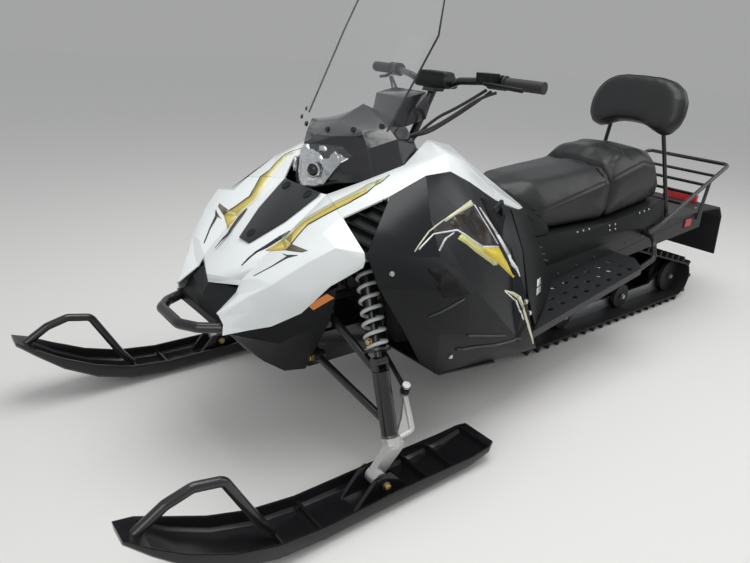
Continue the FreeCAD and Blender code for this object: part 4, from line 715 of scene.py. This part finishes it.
def arc_between(start, middle, end, count):
    """Places on the circle's arc through three places."""
    a, b = start - middle, end - middle
    normal = a.cross(b)
    centre = middle + (normal.cross(a) * b.length_squared + b.cross(normal) * a.length_squared) / (
        2 * normal.length_squared)
    radius = (start - centre).length
    places = []
    for step in range(count + 1):
        share = step / count
        spot = start.lerp(middle, share * 2) if share < 0.5 else middle.lerp(end, share * 2 - 1)
        places.append(centre + (spot - centre).normalized() * radius)
    return places


def cable(name, places, radius, material, body, smooth=False):
    """A round bead, cable or piping along places, as a mesh."""
    curve = bpy.data.curves.new(name, "CURVE")
    curve.dimensions = "3D"
    curve.bevel_depth = radius
    curve.bevel_resolution = 3
    curve.use_fill_caps = True
    line = curve.splines.new("NURBS" if smooth else "POLY")
    line.points.add(len(places) - 1)
    for point, place in zip(line.points, places):
        point.co = (*place, 1)
    if smooth:
        line.order_u = 3
        line.use_endpoint_u = True
        curve.resolution_u = 10
    thing = placed(name, curve)
    bpy.ops.object.convert(target="MESH")
    thing = bpy.context.object
    bpy.ops.object.shade_smooth()
    return settle(thing, name, material, body)


waist = [sketch((978, side * 221, 1140)) for side in (-1, 1)]
head = arc_between(sketch((1047, -172, 1321)), sketch((931, 0, 1337)), sketch((1047, 172, 1321)), 24)
foot_line = arc_between(sketch((838, -200, 896)), sketch((738, 0, 866)), sketch((838, 200, 896)), 24)
bead_line = [foot_line[0], waist[0]] + head + [waist[1], foot_line[-1]]
cable("screen_bead", bead_line, 0.0028, black_film, "chassis")
screen_screws = []
for step in (1, 5, 9, 15, 19, 23):
    spot = foot_line[step] + Vector((-0.004, 0, 0.016))
    outward = Vector((0.9, spot.y * 3.2, 0.25))
    screen_screws += hex_head(spot + outward.normalized() * 0.002, outward, 0.012, 0.005)
settle(merged(screen_screws), "screen_screws", black_film, "chassis")

# Steering: a black steel column and bar with ribbed rubber grips, moulded hand controls and a soft moulded
# pad over the bar's clamp.
grip_rubber = finish("grip_rubber", (0.016, 0.016, 0.017), 0.6, grain=800, bump=0.2)
dress(black_paint, "steering_column", "handlebar")
dress(grip_rubber, "hand_grips")
dress(matte_plastic, "hand_controls")
grip_rings = []
column_lean = math.radians(28)
clamp_line = sketch((1165, 0, 985)) + Vector((-math.sin(column_lean), 0, math.cos(column_lean))) * 0.018
for side in (1, -1):
    inner = clamp_line + Vector((-0.024, side * 0.215, 0.026))
    end = clamp_line + Vector((-0.056, side * 0.385, 0.024))
    run = (end - inner).normalized()
    for step in range(14):
        grip_rings.append(round_ring(end - run * (0.012 + step * 0.0078), run, 0.0158, 0.0012, 24, 6))
settle(merged(grip_rings), "grip_ribs", grip_rubber, "handlebar")
bpy.ops.mesh.primitive_cube_add(size=1, location=clamp_line + Vector((0, 0, 0.014)))
bar_pad = bpy.context.object
bar_pad.scale = (0.062, 0.15, 0.05)
bpy.ops.object.transform_apply(location=False, rotation=False, scale=True)
bpy.ops.object.mode_set(mode="EDIT")
bpy.ops.mesh.select_all(action="SELECT")
bpy.ops.mesh.subdivide(number_cuts=3)
bpy.ops.object.mode_set(mode="OBJECT")
for vertex in bar_pad.data.vertices:
    if vertex.co.z > 0:
        vertex.co.x *= 0.78
        vertex.co.y *= 0.86
shaped(bar_pad, "SUBSURF", levels=2, render_levels=2)
bpy.ops.object.shade_smooth()
settle(bar_pad, "bar_pad", matte_plastic, "handlebar")

# Control cables: wires in rubber sheaths that hang from the hand controls to behind the dash. Each has its
# upper end on the bar, places on the way and its lower end.
CABLES = [
    [(1176, 262, 1000), (1150, 225, 985), (1098, 170, 925), (1040, 120, 876), (985, 100, 862)],
    [(1176, 240, 1002), (1165, 190, 962), (1120, 120, 900), (1060, 95, 862), (1010, 80, 858)],
    [(1172, 225, 1004), (1140, 150, 948), (1100, 80, 905), (1050, 60, 850)],
    [(1176, -240, 1002), (1150, -180, 960), (1105, -120, 905), (1030, -92, 862)],
    [(1172, -225, 1004), (1150, -140, 940), (1110, -70, 890), (1062, -56, 848)],
]
for number, route in enumerate(CABLES):
    radius = 0.0038 if number % 2 else 0.0046
    thing = cable("control_cable_%d" % number, [sketch(place) for place in route], radius, grip_rubber, None,
                  smooth=True)
    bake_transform(thing)

# Console, knee panels and seat base: matt black moulded plastic over the tunnel, fixed with bare snap
# rivets along the base's upper edge. A turned fuel cap stands on the console.
moulded("console_shell", "console", 0.006, matte_plastic)
knees = moulded("knee_shells", "knee_panels", 0.0016, matte_plastic)
moulded("seat_base_shell", "seat_base", 0.004, matte_plastic)
# Snap rivets, as (behind, height): below the rider the base's wall leans out downwards, and below the
# passenger it stands upright
SNAPS = [(1740, 494), (1776, 495), (1812, 496), (1946, 492), (1984, 492), (1946, 474), (1984, 474),
         (2150, 518), (2184, 522), (2218, 526)]
wall_lean = 0.24
snaps = []
for behind, height in SNAPS:
    across = 212.7 + (505 - height) * wall_lean if behind < 1990 else 215.7
    for side in (1, -1):
        snaps.append(dome_rivet(sketch((behind, side * across, height)), (0, side, 0.2), 0.0042))
settle(merged(snaps), "base_snaps", steel_finish, "chassis")
# Ribs on the seat base, coloured with the painted edge highlight
ribs = []
for behind, height in ((1512, 474), (1534, 446), (1556, 418)):
    for side in (1, -1):
        place = sketch((behind, side * 224, height))
        ribs.append(soft_block(place, (0.034, 0.006, 0.008), (0, -18, 0), 0.0022))
settle(merged(ribs), "base_ribs", edge_sheen, "chassis")
# Blank white plate behind the knee, with a dark gap across it
film("blank_plate", [knees], [[(1383, 336, 414), (1345, 371, 377)], [(1436, 306, 404), (1404, 330, 366)]],
     white_film, 0.0005, least=0.02)
film("blank_gap", [knees], [[(1364, 353, 397), (1361, 356, 394)], [(1420, 318, 386), (1417, 320, 383)]],
     matte_plastic, 0.0008, least=0.02)
cap_place = sketch((1225, 0, 764))
cap_radius = 0.04
cap_ridges = 20
bpy.ops.mesh.primitive_cylinder_add(vertices=48, radius=cap_radius, depth=0.03, location=cap_place)
cap = bpy.context.object
shaped(cap, "BEVEL", width=0.006, segments=3)
cap_parts = [cap]
for step in range(cap_ridges):
    angle = step * math.tau / cap_ridges
    spot = cap_place + Vector((math.cos(angle), math.sin(angle), 0)) * (cap_radius - 0.0002)
    bpy.ops.mesh.primitive_cylinder_add(vertices=10, radius=0.0026, depth=0.022, location=spot)
    cap_parts.append(bpy.context.object)
settle(merged(cap_parts), "fuel_cap", matte_plastic, "chassis")

# Seat cushions and backrest: foam under stretched black leatherette, welted along its seams. Each is blown
# up a little as cloth, then sewn.
leatherette = finish("leatherette", (0.0125, 0.0128, 0.0135), 0.36, grain=480, bump=0.22, cloud=0.1,
                     shine=0.42)


def stuffed(name, node, voxel, swelling=0.006):
    """The cushion from its solid: a closed soft form, shrunk a little, then swollen by cloth pressure, and
    resting where it rests."""
    thing = placed(name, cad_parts[node].data.copy())
    shaped(thing, "REMESH", mode="VOXEL", voxel_size=voxel)
    shaped(thing, "SMOOTH", factor=0.5, iterations=8)
    shaped(thing, "DISPLACE", strength=-swelling, mid_level=0.0)
    low = min(corner[2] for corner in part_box(node))
    before = [vertex.co.copy() for vertex in thing.data.vertices]
    cloth = thing.modifiers.new("cloth", "CLOTH")
    cloth.settings.quality = 4
    cloth.settings.mass = 0.3
    cloth.settings.tension_stiffness = 14
    cloth.settings.compression_stiffness = 14
    cloth.settings.bending_stiffness = 1.5
    cloth.settings.use_pressure = True
    cloth.settings.uniform_pressure_force = 4
    cloth.settings.effector_weights.gravity = 0
    cloth.point_cache.frame_start = 1
    cloth.point_cache.frame_end = 20
    for moment in range(1, 21):
        scene.frame_set(moment)
    bpy.ops.object.modifier_apply(modifier="cloth")
    scene.frame_set(1)
    for vertex, start in zip(thing.data.vertices, before):
        move = vertex.co - start
        if move.length > swelling:
            vertex.co = start + move.normalized() * swelling
        vertex.co.z = max(vertex.co.z, low + 0.0003)
    shaped(thing, "SMOOTH", factor=0.5, iterations=14)
    shaped(thing, "SUBSURF", levels=1, render_levels=1)
    bpy.ops.object.shade_smooth()
    settle(thing, name, leatherette, "chassis")
    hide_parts(node)
    return thing


def side_height(line, behind):
    """The height of a seam, from its (behind, height) corners."""
    for (a, low), (b, high) in zip(line, line[1:]):
        if behind <= b:
            return low + (high - low) * (behind - a) / (b - a)
    return line[-1][1]


def sewn(thing, line, inner=0.1, depth=0.003, width=0.0045):
    """Pulls the cover in along a side seam, no nearer to the machine's middle than inner."""
    normals = [vertex.normal.copy() for vertex in thing.data.vertices]
    for vertex, normal in zip(thing.data.vertices, normals):
        behind = (ski_tips - vertex.co.x) * 1000
        if line[0][0] <= behind <= line[-1][0] and abs(vertex.co.y) > inner:
            gap = vertex.co.z - side_height(line, behind) / 1000
            vertex.co -= normal * depth * math.exp(-(gap / width) ** 2)


def welt(name, thing, line, step=22):
    """A thin welt laid in a side seam, found by looking in from each side."""
    for side in (1, -1):
        places = []
        behind = line[0][0]
        while behind <= line[-1][0]:
            start = sketch((behind, side * 400, side_height(line, behind)))
            hit, place, normal = thing.ray_cast(start, Vector((0, -side, 0)))[:3]
            if hit and abs(place.y) > 0.1:
                places.append(place + normal * 0.0004)
            behind += step
        side_name = "_left" if side > 0 else "_right"
        cable(name + side_name, places, 0.0019, leatherette, "chassis", smooth=True)


rider = stuffed("rider_cushion", "rider_seat", 0.009)
passenger = stuffed("passenger_cushion", "passenger_seat", 0.009)
back_pad = stuffed("backrest_cushion", "backrest_pad", 0.007)
rider_seam = [(1500, 574), (1560, 586), (1860, 648), (1944, 663)]
passenger_seam = [(1962, 668), (2010, 684), (2160, 721), (2262, 702), (2330, 620)]
sewn(rider, rider_seam)
sewn(passenger, passenger_seam)
welt("rider_welt", rider, rider_seam)
welt("passenger_welt", passenger, passenger_seam)
# The raised front of the passenger's cushion has a D-shaped seam on its top: (behind, across) in mm
top_seam = [(1985, 150), (2030, 148), (2078, 128), (2108, 80), (2116, 0)]
top_seam = top_seam + [(behind, -across) for behind, across in reversed(top_seam[:-1])]
top_seam = [sketch((behind, across, 0)).xy for behind, across in top_seam]
seam_depth = 0.0035
seam_width = 0.006
normals = [vertex.normal.copy() for vertex in passenger.data.vertices]
for vertex, normal in zip(passenger.data.vertices, normals):
    if normal.z > 0.25:
        spot = vertex.co.xy
        gap = 1.0
        for a, b in zip(top_seam, top_seam[1:]):
            share = max(0.0, min(1.0, (spot - a).dot(b - a) / (b - a).length_squared))
            gap = min(gap, (spot - a.lerp(b, share)).length)
        vertex.co -= normal * seam_depth * math.exp(-(gap / seam_width) ** 2)
# The seam round the backrest's front face, as a welt found by looking in at its rim from all around
pad_lean = math.radians(19.8)
pad_up = Vector((-math.sin(pad_lean), 0, math.cos(pad_lean)))
pad_ahead = Vector((math.cos(pad_lean), 0, math.sin(pad_lean)))
pad_middle = sketch((2330, 0, 800)) + pad_up * 0.126
welt_ahead = 0.058
rim_places = []
for step in range(73):
    angle = step * math.tau / 72
    reach = Vector((0, math.cos(angle), 0)) + pad_up * math.sin(angle)
    start = pad_middle + reach * 0.5 + pad_ahead * welt_ahead
    hit, place, normal = back_pad.ray_cast(start, -reach)[:3]
    if hit:
        rim_places.append(place + normal * 0.0002)
cable("backrest_welt", rim_places, 0.0022, leatherette, "chassis")

# Strap over the seat between the two cushions: a band of woven webbing, held below them. Its places are
# found by looking in at the rider's cushion from all around.
half_strap = 0.012
strap_foot = 0.508
strap_places = []
for step in range(41):
    angle = math.pi * step / 40
    reach = Vector((0, math.cos(angle), math.sin(angle)))
    start = sketch((1951.5, 0, 520)) + reach * 0.6
    hit, place = rider.ray_cast(start + Vector((half_strap, 0, 0)), -reach)[:2]
    if hit and place.z > strap_foot:
        strap_places.append(place + reach * 0.0055 + Vector((0.004, 0, 0)))
strap_mesh = bpy.data.meshes.new("seat_strap")
strap_mesh.from_pydata(
    [place + Vector((offset, 0, 0)) for place in strap_places for offset in (-half_strap, half_strap)], [],
    [(2 * i, 2 * i + 1, 2 * i + 3, 2 * i + 2) for i in range(len(strap_places) - 1)])
strap = placed("seat_strap", strap_mesh)
shaped(strap, "SOLIDIFY", thickness=0.003, offset=0)
webbing = finish("strap_webbing", (0.012, 0.012, 0.013), 0.5, grain=1400, bump=0.3)
settle(faced_out(strap), "seat_strap", webbing, "chassis")

# Backrest frame, rack and tow hitch: bent and welded steel tube and plate, painted black and bolted to the
# tunnel.
dress(black_paint, "backrest_frame", "rear_rack", "tow_hitch")

# Rear lamp, flap and reflectors: clear red and amber moulded plastic, and a rubber sheet that hangs from a
# row of bolts at the tunnel's end. Red reflectors in black frames are stuck to the tunnel's walls.
red_lens = clear("red_lens", (0.45, 0.01, 0.01), 0.15, 0.95)
amber_lens = clear("amber_lens", (0.75, 0.22, 0.03), 0.2, 0.95)
dress(red_lens, "tail_lamp")
dress(amber_lens, "amber_reflectors")
dress(wheel_rubber, "snow_flap")
# Each red plate stands a little further out than the frame around it
reflectors = []
frames = []
for side in (1, -1):
    plate = soft_block(sketch((2575, side * 220.5, 422)), (0.054, 0.005, 0.036), (0, 0, 0), 0.002)
    border = soft_block(sketch((2575, side * 219.3, 422)), (0.064, 0.0026, 0.046), (0, 0, 0), 0.0012, 2)
    reflectors.append(plate)
    frames.append(border)
settle(merged(reflectors), "tunnel_reflectors", red_lens, "chassis")
settle(merged(frames), "tunnel_reflector_frames", matte_plastic, "chassis")
flap_bolts = []
for across in (-170, -60, 60, 170):
    flap_bolts += hex_head(sketch((2725, across, 459)), (-0.03, 0, 1), 0.012, 0.005)
settle(merged(flap_bolts), "flap_bolts", steel_finish, "chassis")
